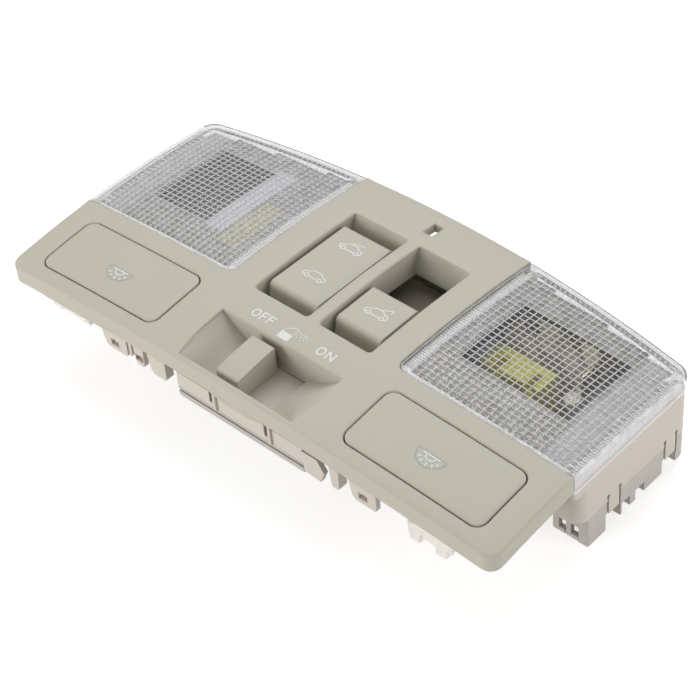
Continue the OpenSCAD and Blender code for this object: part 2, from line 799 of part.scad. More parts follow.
// Block under both pockets with a bearing post for each rocker
module rocker_base() {
  post_w = 9;
  color([0.14, 0.14, 0.15]) difference() {
    union() {
      slab(floor_z + fit / 2, floor_z + 2) translate([-base_w / 2, base_front]) square([base_w, base_d]);
      slab(floor_z + 1, base_top)
        translate([-base_w / 2 + 5, base_front + 3]) square([base_w - 10, base_d - 6]);
      for (p = [[pocket_left_x, left_pin_y], [pocket_right_x, right_pin_y]])
        translate([p[0] - post_w / 2, p[1] - 3.4, base_top - 1]) {
          cube([post_w, 6.8, rocker_pin_z - base_top + 1]);
          translate([0, 3.4, rocker_pin_z - base_top + 1]) rotate([0, 90, 0]) cylinder(r = 3.4, h = post_w);
        }
    }
    for (p = [[pocket_left_x, left_pin_y], [pocket_right_x, right_pin_y]])
      translate([p[0], p[1], rocker_pin_z]) rotate([0, 90, 0])
        cylinder(r = rocker_pin_d / 2 + run, h = post_w + 2, center = true);
    slab(0, base_top - wall)
      translate([-base_w / 2 + 7, base_front + 5]) square([base_w - 14, base_d - 10]);
    post_spots() cylinder(r = post_r + 0.3, h = tall);
  }
}

// Guide block of the slide switch, seated on the front box's floor
module slide_switch_base() {
  slot = detent_pitch * 2 + 6.4;
  color([0.15, 0.15, 0.16]) difference() {
    slab(front_floor_z + fit / 2, slide_top) translate([0, recess_y]) square([recess_w - 4, recess_d - 8.2], center = true);
    slab(front_floor_z + 1.6, tall) translate([0, recess_y]) square([slot, 5.4], center = true);
    for (s = [-1, 1]) slab(front_floor_z + 1.6, tall)
      translate([s * (recess_w / 2 - 8), recess_y]) square([7, 11], center = true);
  }
}

module knob_carriage() {
  color([0.80, 0.79, 0.76]) difference() {
    union() {
      slab(recess_floor - plate_t, recess_floor) translate([knob_x, recess_y])
        square([plate_w, recess_d - 2.2], center = true);
      slab(front_floor_z + 2.4, recess_floor - plate_t + lap) translate([knob_x, recess_y])
        square([5.6, 5], center = true);
    }
    slab(recess_floor - 3, tall) translate([knob_x, recess_y]) square([4, 3], center = true);
  }
}

module dome_knob() {
  color(greige) {
    intersection() {
      up_to_crown(recess_floor, 1) translate([knob_x, recess_y]) round_rect(knob_w, knob_d, 0.8);
      translate([knob_x - knob_w, 0, 0]) rotate([90, 0, 90]) linear_extrude(2 * knob_w)
        offset(r = 1.2) offset(delta = -1.2) translate([recess_y, 0])
          polygon([[-knob_d / 2, 0], [knob_d / 2, 0], [knob_d / 2, crown_z(0, recess_back) - 1],
            [0, crown_z(0, recess_y) - 0.9], [-knob_d / 2, crown_z(0, recess_y - knob_d / 2) - 1.5]]);
    }
    slab(recess_floor - 2.8, recess_floor + 0.5)
      translate([knob_x, recess_y]) square([3.8, 2.8], center = true);
  }
}

module circuit_board() {
  color([0.10, 0.35, 0.20]) difference() {
    slab(board_z, board_z + board_t) translate([1.5 - lens_x, lens_y + 5])
      square([2 * lens_x - 3, middle_back - lens_y - 9]);
    post_spots() cylinder(r = post_r + 0.3, h = tall);
  }
}

// Open inlet of the wiring plug, hanging from the board
module connector() {
  low = 1.4;
  pins = 8;
  color([0.9, 0.9, 0.87]) translate([connector_x, connector_y, 0]) {
    difference() {
      slab(low, board_z - fit / 2) square([plug_w, plug_d], center = true);
      slab(0, board_z - 2) square([plug_w - 2.4, plug_d - 2.4], center = true);
    }
    for (i = [0 : pins - 1], s = [-1, 1])
      translate([(i - (pins - 1) / 2) * 2.6 - 0.35, s * 2 - 0.35, low + 4.8])
        cube([0.7, 0.7, board_z - low - 5.8]);
  }
}

module cover_screws() {
  head = 1.8;
  color([0.55, 0.56, 0.58]) post_spots() {
    translate([0, 0, cover_floor_z - head]) cylinder(r = 2.8, h = head - 0.02);
    translate([0, 0, cover_floor_z - head])
      cylinder(r = screw_core_r - 0.02, h = floor_z + 6 - cover_floor_z + head);
  }
}

fascia();
housing();
rear_cover();
lens(-1);  // lens_left
lens(1);  // lens_right
reflector(-1);  // reflector_left
reflector(1);  // reflector_right
bulb_holder(-1);  // bulb_holder_left
bulb_holder(1);  // bulb_holder_right
bulb(-1);  // bulb_left
bulb(1);  // bulb_right
contacts(-1);  // contacts_left
contacts(1);  // contacts_right
button_carrier(-1);  // button_carrier_left
button_carrier(1);  // button_carrier_right
light_guide(-1);  // light_guide_left
light_guide(1);  // light_guide_right
map_button(-1);  // map_button_left
map_button(1);  // map_button_right
button_spring(-1);  // button_spring_left
button_spring(1);  // button_spring_right
push_switch(-1);  // push_switch_left
push_switch(1);  // push_switch_right
rocker_base();
slide_rocker();
tilt_rocker();
rocker_pin(pocket_left_x, left_rocker_w, left_pin_y);  // slide_rocker_pin
rocker_pin(pocket_right_x, right_rocker_w, right_pin_y);  // tilt_rocker_pin
slide_switch_base();
dome_knob();
knob_carriage();
circuit_board();
connector();
cover_screws();
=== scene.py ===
"""Car dome light: softened edges, clear lenses, prints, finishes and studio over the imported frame."""
import math
import bmesh
import bpy
from bpy.props import FloatProperty, FloatVectorProperty, IntProperty, PointerProperty
from mathutils import Matrix, Vector
from mathutils.geometry import delaunay_2d_cdt


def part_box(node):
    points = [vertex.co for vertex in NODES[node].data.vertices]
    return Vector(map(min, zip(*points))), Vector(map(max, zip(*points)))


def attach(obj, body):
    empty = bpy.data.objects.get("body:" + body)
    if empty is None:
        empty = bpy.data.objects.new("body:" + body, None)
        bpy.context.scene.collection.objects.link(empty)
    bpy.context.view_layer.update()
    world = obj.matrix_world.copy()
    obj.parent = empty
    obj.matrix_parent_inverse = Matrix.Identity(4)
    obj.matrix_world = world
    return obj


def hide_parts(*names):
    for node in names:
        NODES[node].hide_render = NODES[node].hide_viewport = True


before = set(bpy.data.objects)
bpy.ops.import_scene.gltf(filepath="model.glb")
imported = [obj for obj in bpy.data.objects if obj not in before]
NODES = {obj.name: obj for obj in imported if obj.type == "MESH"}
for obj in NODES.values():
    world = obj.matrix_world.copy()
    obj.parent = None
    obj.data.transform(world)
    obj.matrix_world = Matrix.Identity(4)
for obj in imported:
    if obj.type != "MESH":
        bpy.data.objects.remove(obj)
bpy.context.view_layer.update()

bl_info = {
    "name": "Car dome light",
    "version": (1, 0, 0),
    "blender": (4, 5, 0),
    "location": "3D View > Sidebar > Dome Light",
    "description": "Dresses the dome light's frame with soft edges, fluted lenses, prints and finishes",
    "category": "Object",
}

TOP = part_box("fascia")[1].z
HALF_W = (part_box("fascia")[1].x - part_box("fascia")[0].x) / 2
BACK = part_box("fascia")[1].y
RIM_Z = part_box("lens_right")[0].z
MM = 0.001
# Radii of the crowned face along its length and its depth, of its back edge and of its back corners
CROWN_W = 1.405
CROWN_D = 0.420
BACK_R = 0.750
CORNER_R = 0.0064
# Where the face meets the lenses
LENS_SIDE = 0.0398
LENS_FRONT = -0.0174

# Camera of the photo, with its place given over the face's highest level, and its axes: right, up and back
CAMERA_AT = (0.406271, -0.390722, 0.502715)
CAMERA_AXES = ((0.73810, 0.67109, -0.06964), (-0.42552, 0.54312, 0.72385), (0.52359, -0.50464, 0.68643))
CAMERA_LENS = 107.994
CAMERA_SENSOR = 36
# Soft lights: place, point aimed at, size, power and tint
WARM_TINT = (1, 0.98, 0.96)
LIGHTS = {"top box": ((-0.35, 0.55, 0.95), (0, 0, 0.03), 0.9, 8.1, (1, 1, 1)),
          "front fill": ((-0.45, -1.05, 0.35), (0, 0, 0.02), 0.7, 7.6, WARM_TINT),
          "side fill": ((1.10, 0.42, 0.30), (0, 0, 0.02), 0.6, 5.0, WARM_TINT)}
WORLD_LIGHT = 0.33
FLOOR_HALF = 4


def crown(x, y, depth=0.0):
    """Height of the crowned face, or of a surface that lies depth under it."""
    rho = CROWN_D - CROWN_W + math.sqrt((CROWN_W - depth) ** 2 - x * x)
    return TOP - CROWN_D + math.sqrt(rho * rho - y * y)


def shade(r, g, b):
    """Linear colour from the usual 0 to 255 values."""
    return tuple(c / 12.92 if c <= 0.04045 else ((c + 0.055) / 1.055) ** 2.4
                 for c in (r / 255, g / 255, b / 255))


# ---- What a user would change


def length_property(name, description, value):
    return FloatProperty(name=name, description=description, default=value, unit="LENGTH")


def colour_property(name, description, value):
    return FloatVectorProperty(name=name, description=description, default=value, subtype="COLOR",
                               min=0, max=1)


class DomeLightSizes(bpy.types.PropertyGroup):
    """Sizes of the visible details"""
    rim_round: length_property("Rim round", "Radius of the face's outer rim", 0.0008)
    lens_side_round: length_property("Lens side round", "Radius of the face's rim beside a lens", 0.0002)
    window_round: length_property("Window round", "Radius of the rims of windows and pockets", 0.0007)
    button_round: length_property("Button round", "Radius of the button and switch edges", 0.0004)
    cell_w: length_property("Cell width", "Lens cell along the length", 0.0028)
    cell_d: length_property("Cell depth", "Lens cell along the depth", 0.0024)
    cell_h: length_property("Cell height", "Bulge of a lens cell", 0.00035)
    ridge_w: length_property("Ridge width", "Width of the fine ridges", 0.00042)
    cell_steps: IntProperty(name="Cell steps", description="Faces along one lens cell", default=4, min=2,
                            max=6)


class DomeLightColours(bpy.types.PropertyGroup):
    """Colours of the finishes"""
    face: colour_property("Face", "Face, buttons and rockers", shade(190, 186, 173))
    housing: colour_property("Housing", "Housing and carriers", shade(208, 200, 190))
    cover: colour_property("Cover", "Rear cover", shade(193, 189, 182))
    print_ink: colour_property("Print", "Words and symbols", shade(226, 229, 226))
    dark_cell: colour_property("Dark cell", "Shadow in a lens cell", shade(108, 106, 103))
    light_cell: colour_property("Light cell", "Bright part of a lens cell", shade(212, 212, 213))
    holder: colour_property("Bulb holder", "Moulded bulb holder", shade(194, 190, 34))
    trough: colour_property("Reflector", "Metallised trough", shade(88, 76, 70))


# ---- Shader helpers and shared groups


def group(name, inputs, outputs):
    tree = bpy.data.node_groups.new(name, "ShaderNodeTree")
    for label, kind, value in inputs:
        s = tree.interface.new_socket(name=label, in_out="INPUT", socket_type=kind)
        s.default_value = value
    for label, kind in outputs:
        tree.interface.new_socket(name=label, in_out="OUTPUT", socket_type=kind)
    return tree, tree.nodes.new("NodeGroupInput"), tree.nodes.new("NodeGroupOutput")


def fed(n, **values):
    """Feeds a node's sockets by name, where _ stands for a space, with values or other sockets."""
    for name, value in values.items():
        socket = n.inputs[name.replace("_", " ")]
        if isinstance(value, bpy.types.NodeSocket):
            n.id_data.links.new(value, socket)
        else:
            socket.default_value = value
    return n


def node(tree, kind, **values):
    return fed(tree.nodes.new("ShaderNode" + kind), **values)


def maths(tree, op, a, b=None, clamp=False):
    n = node(tree, "Math")
    n.operation = op
    n.use_clamp = clamp
    for i, v in enumerate((a, b)):
        if isinstance(v, bpy.types.NodeSocket):
            tree.links.new(v, n.inputs[i])
        elif v is not None:
            n.inputs[i].default_value = v
    return n.outputs[0]


def times(tree, a, b, clamp=False):
    return maths(tree, "MULTIPLY", a, b, clamp)


def scaled(tree, value, factor, base, clamp=False):
    return maths(tree, "ADD", times(tree, value, factor), base, clamp)


def blend_colour(tree, factor, a, b):
    n = node(tree, "Mix")
    n.data_type = "RGBA"
    for i, v in ((0, factor), (6, a), (7, b)):
        if isinstance(v, bpy.types.NodeSocket):
            tree.links.new(v, n.inputs[i])
        else:
            n.inputs[i].default_value = (*v, 1)[:4] if isinstance(v, tuple) else v
    return n.outputs[2]


def noise(tree, scale, detail=2, at=None):
    """Value of a noise texture, placed by the socket at."""
    n = node(tree, "TexNoise", Scale=scale, Detail=detail)
    if at is not None:
        fed(n, Vector=at)
    return n.outputs["Fac"]


def ramp(tree, value, low, high, smooth=False):
    """Share of the way that a value has come from low to high."""
    n = node(tree, "MapRange", Value=value, From_Min=low, From_Max=high)
    if smooth:
        n.interpolation_type = "SMOOTHSTEP"
    return n.outputs[0]


def coordinates(tree):
    """A place in the shared frame, whole and in its parts."""
    at = node(tree, "TexCoord").outputs["Object"]
    return at, node(tree, "SeparateXYZ", Vector=at).outputs


def facing(tree, blend):
    """How far a surface turns away from the eye."""
    return node(tree, "LayerWeight", Blend=blend).outputs["Facing"]


def grain_group():
    """Moulded plastic: cloudy colour, uneven gloss and a fine spark-eroded grain."""
    tree, i, o = group("Moulded grain", [
        ("Color", "NodeSocketColor", (0.5, 0.5, 0.5, 1)), ("Clouds", "NodeSocketFloat", 0.03),
        ("Gloss", "NodeSocketFloat", 0.45), ("Grain", "NodeSocketFloat", 1.0)],
        [("Color", "NodeSocketColor"), ("Roughness", "NodeSocketFloat"), ("Height", "NodeSocketFloat")])
    at = coordinates(tree)[0]
    pit = node(tree, "TexVoronoi", Scale=1500, Vector=at).outputs["Distance"]
    soft = maths(tree, "SUBTRACT", noise(tree, 60, 4, at), 0.5)
    dark = times(tree, scaled(tree, pit, 0.25, soft), i.outputs["Clouds"])
    hsv = node(tree, "HueSaturation", Color=i.outputs["Color"], Value=maths(tree, "ADD", 1.0, dark))
    height = scaled(tree, pit, 0.6, noise(tree, 2600, 2, at))
    fed(o, Color=hsv.outputs[0], Roughness=scaled(tree, soft, 0.12, i.outputs["Gloss"]),
        Height=times(tree, height, i.outputs["Grain"]))
    return tree


def cell_group():
    """Lens cells: a painted dark blot of shade and a painted highlight in each cell, with a share of chance
    from cell to cell.
    """
    tree, i, o = group("Lens cells", [
        ("Width", "NodeSocketFloat", 0.0028), ("Depth", "NodeSocketFloat", 0.0024),
        ("Dark", "NodeSocketColor", (0.15, 0.15, 0.15, 1)), ("Light", "NodeSocketColor", (0.8, 0.8, 0.8, 1)),
        ("Spot", "NodeSocketColor", (0.9, 0.88, 0.8, 1)), ("Contrast", "NodeSocketFloat", 1.0),
        ("Spark", "NodeSocketFloat", 0.9), ("Chips", "NodeSocketFloat", 0.4)],
        [("Color", "NodeSocketColor")])
    at, xyz = coordinates(tree)
    u = maths(tree, "DIVIDE", xyz["X"], i.outputs["Width"])
    v = maths(tree, "DIVIDE", xyz["Y"], i.outputs["Depth"])
    cell = node(tree, "CombineXYZ", X=maths(tree, "FLOOR", u), Y=maths(tree, "FLOOR", v))
    dice = node(tree, "TexWhiteNoise")
    dice.noise_dimensions = "3D"
    fed(dice, Vector=cell.outputs[0])
    # Noise that frays the edges of the painted shade and the painted highlights
    ragging = times(tree, maths(tree, "SUBTRACT", noise(tree, 1100, 2, at), 0.5), i.outputs["Chips"])

    def disc(cx, cy, full, gone):
        """A soft disc in every cell, as a share of the cell."""
        cubes = []
        for along, middle in ((u, cx), (v, cy)):
            off = maths(tree, "ABSOLUTE", maths(tree, "SUBTRACT", maths(tree, "FRACT", along), middle))
            cubes.append(maths(tree, "POWER", off, 3.0))
        away = maths(tree, "POWER", maths(tree, "ADD", *cubes), 0.3333)
        return ramp(tree, maths(tree, "ADD", away, ragging), gone, full, smooth=True)

    tone = scaled(tree, dice.outputs["Value"], 0.34, 0.74)
    # Painted shade: a dark blot in each cell
    painted_shade = times(tree, times(tree, disc(0.50, 0.52, 0.41, 0.49), tone), i.outputs["Contrast"], clamp=True)
    # Painted highlight near one corner of each cell
    spot = times(tree, disc(0.80, 0.27, 0.05, 0.22), i.outputs["Spark"], clamp=True)
    colour = blend_colour(tree, painted_shade, i.outputs["Light"], i.outputs["Dark"])
    fed(o, Color=blend_colour(tree, spot, colour, i.outputs["Spot"]))
    return tree


GROUPS = {}


def place(material, name, **values):
    """Places a shared group in a material, with its own values."""
    n = material.node_tree.nodes.new("ShaderNodeGroup")
    n.node_tree = GROUPS[name]
    return fed(n, **{k: (*v, 1) if isinstance(v, tuple) else v for k, v in values.items()})


def fresh(name, roughness=0.4, metallic=0.0, specular=0.5):
    """A new material, its node tree and its shader."""
    m = bpy.data.materials.new(name)
    m.use_nodes = True
    b = m.node_tree.nodes["Principled BSDF"]
    return m, m.node_tree, fed(b, Roughness=roughness, Metallic=metallic, Specular_IOR_Level=specular)


def moulded(name, colour, gloss=0.5, clouds=0.03, grain=0.35, specular=0.4, soften=0.0005, metallic=0.0,
            painted_glow=0.0):
    """Moulded plastic or cast metal with softened edges; its emission, if any, is painted light, as the part
    is no lamp.
    """
    m, tree, b = fresh(name, gloss, metallic, specular)
    g = place(m, "grain", Color=tuple(colour), Clouds=clouds, Gloss=gloss, Grain=grain).outputs
    bump = node(tree, "Bump", Strength=0.35, Distance=0.00006, Height=g["Height"])
    if soften:
        edge = node(tree, "Bevel", Radius=soften)
        edge.samples = 6
        fed(bump, Normal=edge.outputs[0])
    fed(b, Base_Color=g["Color"], Roughness=g["Roughness"], Normal=bump.outputs[0])
    # Painted light: emission on a part that is no lamp
    if painted_glow:
        fed(b, Emission_Color=g["Color"], Emission_Strength=painted_glow)
    return m


def mottled(name, roughness, specular, scale, low, high, detail=2, spread=None):
    """A clear material whose tint wavers between two colours; its alpha is left to the caller."""
    m, tree, b = fresh(name, roughness, 0, specular)
    share = noise(tree, scale, detail)
    if spread:
        share = ramp(tree, share, *spread)
    return m, tree, fed(b, Base_Color=blend_colour(tree, share, shade(*low), shade(*high)))


# ---- Mesh helpers


def mesh_object(name, bm, material, body="console", replaces=(), smooth=30):
    bmesh.ops.remove_doubles(bm, verts=bm.verts, dist=1e-7)
    limit = math.radians(smooth)
    for e in bm.edges:
        e.smooth = len(e.link_faces) != 2 or e.calc_face_angle(0) < limit
    for f in bm.faces:
        f.smooth = True
    data = bpy.data.meshes.new(name)
    bm.to_mesh(data)
    bm.free()
    for m in (material if isinstance(material, (list, tuple)) else [material]):
        data.materials.append(m)
    ob = bpy.data.objects.new(name, data)
    bpy.context.scene.collection.objects.link(ob)
    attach(ob, body)
    for n in replaces:
        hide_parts(n)
    return ob


def finish_node(name, *materials):
    data = NODES[name].data
    data.materials.clear()
    for m in materials:
        data.materials.append(m)


def inside(p, loop):
    """Whether a point lies inside a closed loop of points."""
    hit = False
    for a, b in zip(loop, loop[1:] + loop[:1]):
        if (a[1] > p[1]) != (b[1] > p[1]) and p[0] < (b[0] - a[0]) * (p[1] - a[1]) / (b[1] - a[1]) + a[0]:
            hit = not hit
    return hit


def turned(loop):
    """Twice the signed area of a loop."""
    return sum(a[0] * b[1] - b[0] * a[1] for a, b in zip(loop, loop[1:] + loop[:1]))


def inset_loop(loop, by):
    """Moves each point of a closed loop to its left by its own distance, with mitred corners."""
    out = []
    n = len(loop)
    for k in range(n):
        a, b, c = loop[k - 1], loop[k], loop[(k + 1) % n]
        d1 = Vector((b[0] - a[0], b[1] - a[1])).normalized()
        d2 = Vector((c[0] - b[0], c[1] - b[1])).normalized()
        n1, n2 = Vector((-d1.y, d1.x)), Vector((-d2.y, d2.x))
        m = n1 + n2
        m = m.normalized() if m.length > 1e-9 else n1
        reach = by[k] / max(m.dot(n1), 0.45)
        out.append((b[0] + m.x * reach, b[1] + m.y * reach))
    return out


def fill_between(bm, loops, height, grid=0.006, clear=0.0015):
    """Fills the area inside the first loop and outside the others with a mesh that follows a height."""
    points, edges = [], []
    for loop in loops:
        start = len(points)
        points += [Vector(p) for p in loop]
        edges += [(start + k, start + (k + 1) % len(loop)) for k in range(len(loop))]
    xs, ys = [p[0] for p in loops[0]], [p[1] for p in loops[0]]
    rims = [Vector(p) for loop in loops for p in loop]
    for i in range(int((max(xs) - min(xs)) / grid) + 1):
        for j in range(int((max(ys) - min(ys)) / grid) + 1):
            p = (min(xs) + (i + 0.5) * grid, min(ys) + (j + 0.5) * grid)
            if inside(p, loops[0]) and not any(inside(p, h) for h in loops[1:]):
                q = Vector(p)
                if min((q - r).length_squared for r in rims) > clear * clear:
                    points.append(q)
    flat, _, faces, *_ = delaunay_2d_cdt(points, edges, [], 0, 1e-9)
    made = [bm.verts.new((p.x, p.y, height(p.x, p.y))) for p in flat]
    for f in faces:
        ring_2d = [flat[k] for k in f]
        longest = max((a - b).length for a, b in zip(ring_2d, ring_2d[1:] + ring_2d[:1]))
        # A sliver between points in one line would spoil the shading of its ends
        if abs(turned(ring_2d)) < 0.001 * longest * longest:
            continue
        c = sum((flat[k] for k in f), Vector((0, 0))) / len(f)
        if inside(c, loops[0]) and not any(inside(c, h) for h in loops[1:]):
            face = bm.faces.new([made[k] for k in f])
            face.normal_update()
            if face.normal.z < 0:
                face.normal_flip()
    for v in [v for v in made if not v.link_faces]:
        bm.verts.remove(v)


def loops_of(edges):
    """Chains boundary edges into closed loops of vertices, in the same order each run."""
    left = dict.fromkeys(edges)
    at = {}
    for e in edges:
        for v in e.verts:
            at.setdefault(v, []).append(e)
    loops = []
    while left:
        start, v = left.popitem()[0].verts
        loop = [start, v]
        while True:
            nxt = [k for k in at[v] if k in left]
            if not nxt:
                break
            del left[nxt[0]]
            v = nxt[0].other_vert(v)
            if v is start:
                break
            loop.append(v)
        loops.append(loop)
    return loops


def soft_face(name, outer, inner, material, body, steps=4, height=crown):
    """A copy of a crowned node whose top has rounded rims; outer gives the radius round its outline."""
    bm = bmesh.new()
    bm.from_mesh(NODES[name].data)
    bmesh.ops.remove_doubles(bm, verts=bm.verts, dist=2e-6)
    on_top = {v for v in bm.verts if abs(v.co.z - height(v.co.x, v.co.y)) < 4e-5}
    top = [f for f in bm.faces if all(v in on_top for v in f.verts)]
    chosen = set(top)
    rim = [e for e in bm.edges if sum(f in chosen for f in e.link_faces) == 1]
    work = list(rim)
    while work:
        e = work.pop()
        if e.calc_length() > 0.003:
            half, v = bmesh.utils.edge_split(e, e.verts[0], 0.5)
            v.co.z = height(v.co.x, v.co.y)
            work += [e, half]
            rim.append(half)
    loops = loops_of(rim)
    if not loops:
        raise RuntimeError(f"{name} has no crowned face")
    flat = [[(v.co.x, v.co.y) for v in loop] for loop in loops]
    order = sorted(range(len(loops)), key=lambda k: -abs(turned(flat[k])))
    bmesh.ops.delete(bm, geom=top, context="FACES_ONLY")
    inner_loops = []
    for rank, k in enumerate(order):
        loop, pts = loops[k], flat[k]
        # The left of the loop has to be the plastic's side
        if (turned(pts) > 0) != (rank == 0):
            loop, pts = loop[::-1], pts[::-1]
        radii = [outer(*p) if rank == 0 else inner for p in pts]
        rows = [loop]
        for v, r in zip(loop, radii):
            v.co.z -= r
        for s in range(1, steps + 1):
            a = math.pi / 2 * s / steps
            moved = inset_loop(pts, [r * (1 - math.cos(a)) for r in radii])
            rows.append([bm.verts.new((q[0], q[1], height(q[0], q[1]) - r * (1 - math.sin(a))))
                         for q, r in zip(moved, radii)])
        for low, high in zip(rows, rows[1:]):
            for j in range(len(low)):
                q = (j + 1) % len(low)
                bm.faces.new([low[j], low[q], high[q], high[j]])
        inner_loops.append([(v.co.x, v.co.y) for v in rows[-1]])
    fill_between(bm, inner_loops, height)
    bmesh.ops.remove_doubles(bm, verts=bm.verts, dist=1e-6)
    bmesh.ops.recalc_face_normals(bm, faces=bm.faces)
    return mesh_object(name + "_skin", bm, material, body, [name])


def soft_block(name, width, material, body, angle=35, segments=2):
    """A copy of a node with a small round on its sharp edges."""
    bm = bmesh.new()
    bm.from_mesh(NODES[name].data)
    bmesh.ops.remove_doubles(bm, verts=bm.verts, dist=2e-6)
    bmesh.ops.dissolve_limit(bm, angle_limit=math.radians(1.2), verts=bm.verts, edges=bm.edges)
    ob = mesh_object(name + "_skin", bm, material, body, [name])
    bevel = ob.modifiers.new("Round", "BEVEL")
    bevel.width = width
    bevel.segments = segments
    bevel.limit_method = "ANGLE"
    bevel.angle_limit = math.radians(angle)
    bevel.harden_normals = False
    bevel.use_clamp_overlap = True
    return ob


# ---- Studio


class DOMELIGHT_OT_stage(bpy.types.Operator):
    """Sets the camera, the soft lights and the pale floor"""
    bl_idname = "domelight.stage"
    bl_label = "Studio"

    def execute(self, context):
        scene = context.scene
        cam = bpy.data.cameras.new("camera")
        cam.sensor_width = CAMERA_SENSOR
        cam.lens = CAMERA_LENS
        cam.clip_start = 0.01
        cam.clip_end = 20
        ob = bpy.data.objects.new("camera", cam)
        scene.collection.objects.link(ob)
        x, y, over = CAMERA_AT
        m = Matrix(CAMERA_AXES).transposed().to_4x4()
        m.translation = Vector((x, y, over + TOP))
        ob.matrix_world = m
        scene.camera = ob
        world = bpy.data.worlds.new("studio")
        scene.world = world
        world.use_nodes = True
        sky = world.node_tree.nodes["Background"]
        sky.inputs["Color"].default_value = (1.0, 0.99, 0.98, 1)
        sky.inputs["Strength"].default_value = WORLD_LIGHT
        for name, (spot, aim, size, power, tint) in LIGHTS.items():
            light = bpy.data.lights.new(name, "AREA")
            light.energy = power
            light.size = size
            light.color = tint
            lamp = bpy.data.objects.new(name, light)
            lamp.location = spot
            lamp.rotation_euler = (Vector(aim) - Vector(spot)).to_track_quat("-Z", "Y").to_euler()
            scene.collection.objects.link(lamp)
        self.floor(scene)
        scene.view_settings.view_transform = "Standard"
        scene.view_settings.look = "None"
        return {"FINISHED"}

    def floor(self, scene):
        """Pale floor that the camera sees a little brighter than the part does."""
        bm = bmesh.new()
        for x, y in ((-1, -1), (1, -1), (1, 1), (-1, 1)):
            bm.verts.new((x * FLOOR_HALF, y * FLOOR_HALF, 0))
        bm.faces.new(bm.verts)
        data = bpy.data.meshes.new("floor")
        bm.to_mesh(data)
        bm.free()
        floor = bpy.data.objects.new("floor", data)
        scene.collection.objects.link(floor)
        m, tree, b = fresh("Studio floor", 0.9, 0, 0.1)
        seen = node(tree, "LightPath").outputs["Is Camera Ray"]
        fed(b, Base_Color=blend_colour(tree, noise(tree, 3), (0.66, 0.66, 0.66), (0.70, 0.70, 0.70)),
            Emission_Color=(1, 1, 1, 1), Emission_Strength=scaled(tree, seen, 0.40, 0.24))
        data.materials.append(m)


# ---- Finishes of the plain nodes

FINISH = {}
# Painted reflections in the trough, pale streaks and pearls with a few dark patches: place, half length,
# half width, lean from the length and colour
PAINTED_REFLECTIONS = ((0.0590, 0.0445, 0.0070, 0.0032, -14, (250, 232, 216)),
          (0.0541, 0.0397, 0.0062, 0.0030, -28, (236, 218, 196)),
          (0.0720, 0.0412, 0.0105, 0.0030, -30, (214, 204, 190)),
          (0.0780, 0.0445, 0.0055, 0.0028, -18, (255, 244, 228)),
          (0.0797, 0.0322, 0.0062, 0.0042, -70, (255, 250, 240)),
          (0.0451, 0.0437, 0.0040, 0.0030, 0, (190, 172, 156)),
          (0.0436, 0.0310, 0.0050, 0.0050, 0, (146, 158, 172)),
          (0.0440, 0.0392, 0.0034, 0.0030, 0, (34, 34, 48)),
          (0.0661, 0.0388, 0.0060, 0.0026, -20, (72, 62, 56)))
# How far under its top a reflector's trough starts
TROUGH_UNDER = 0.0013


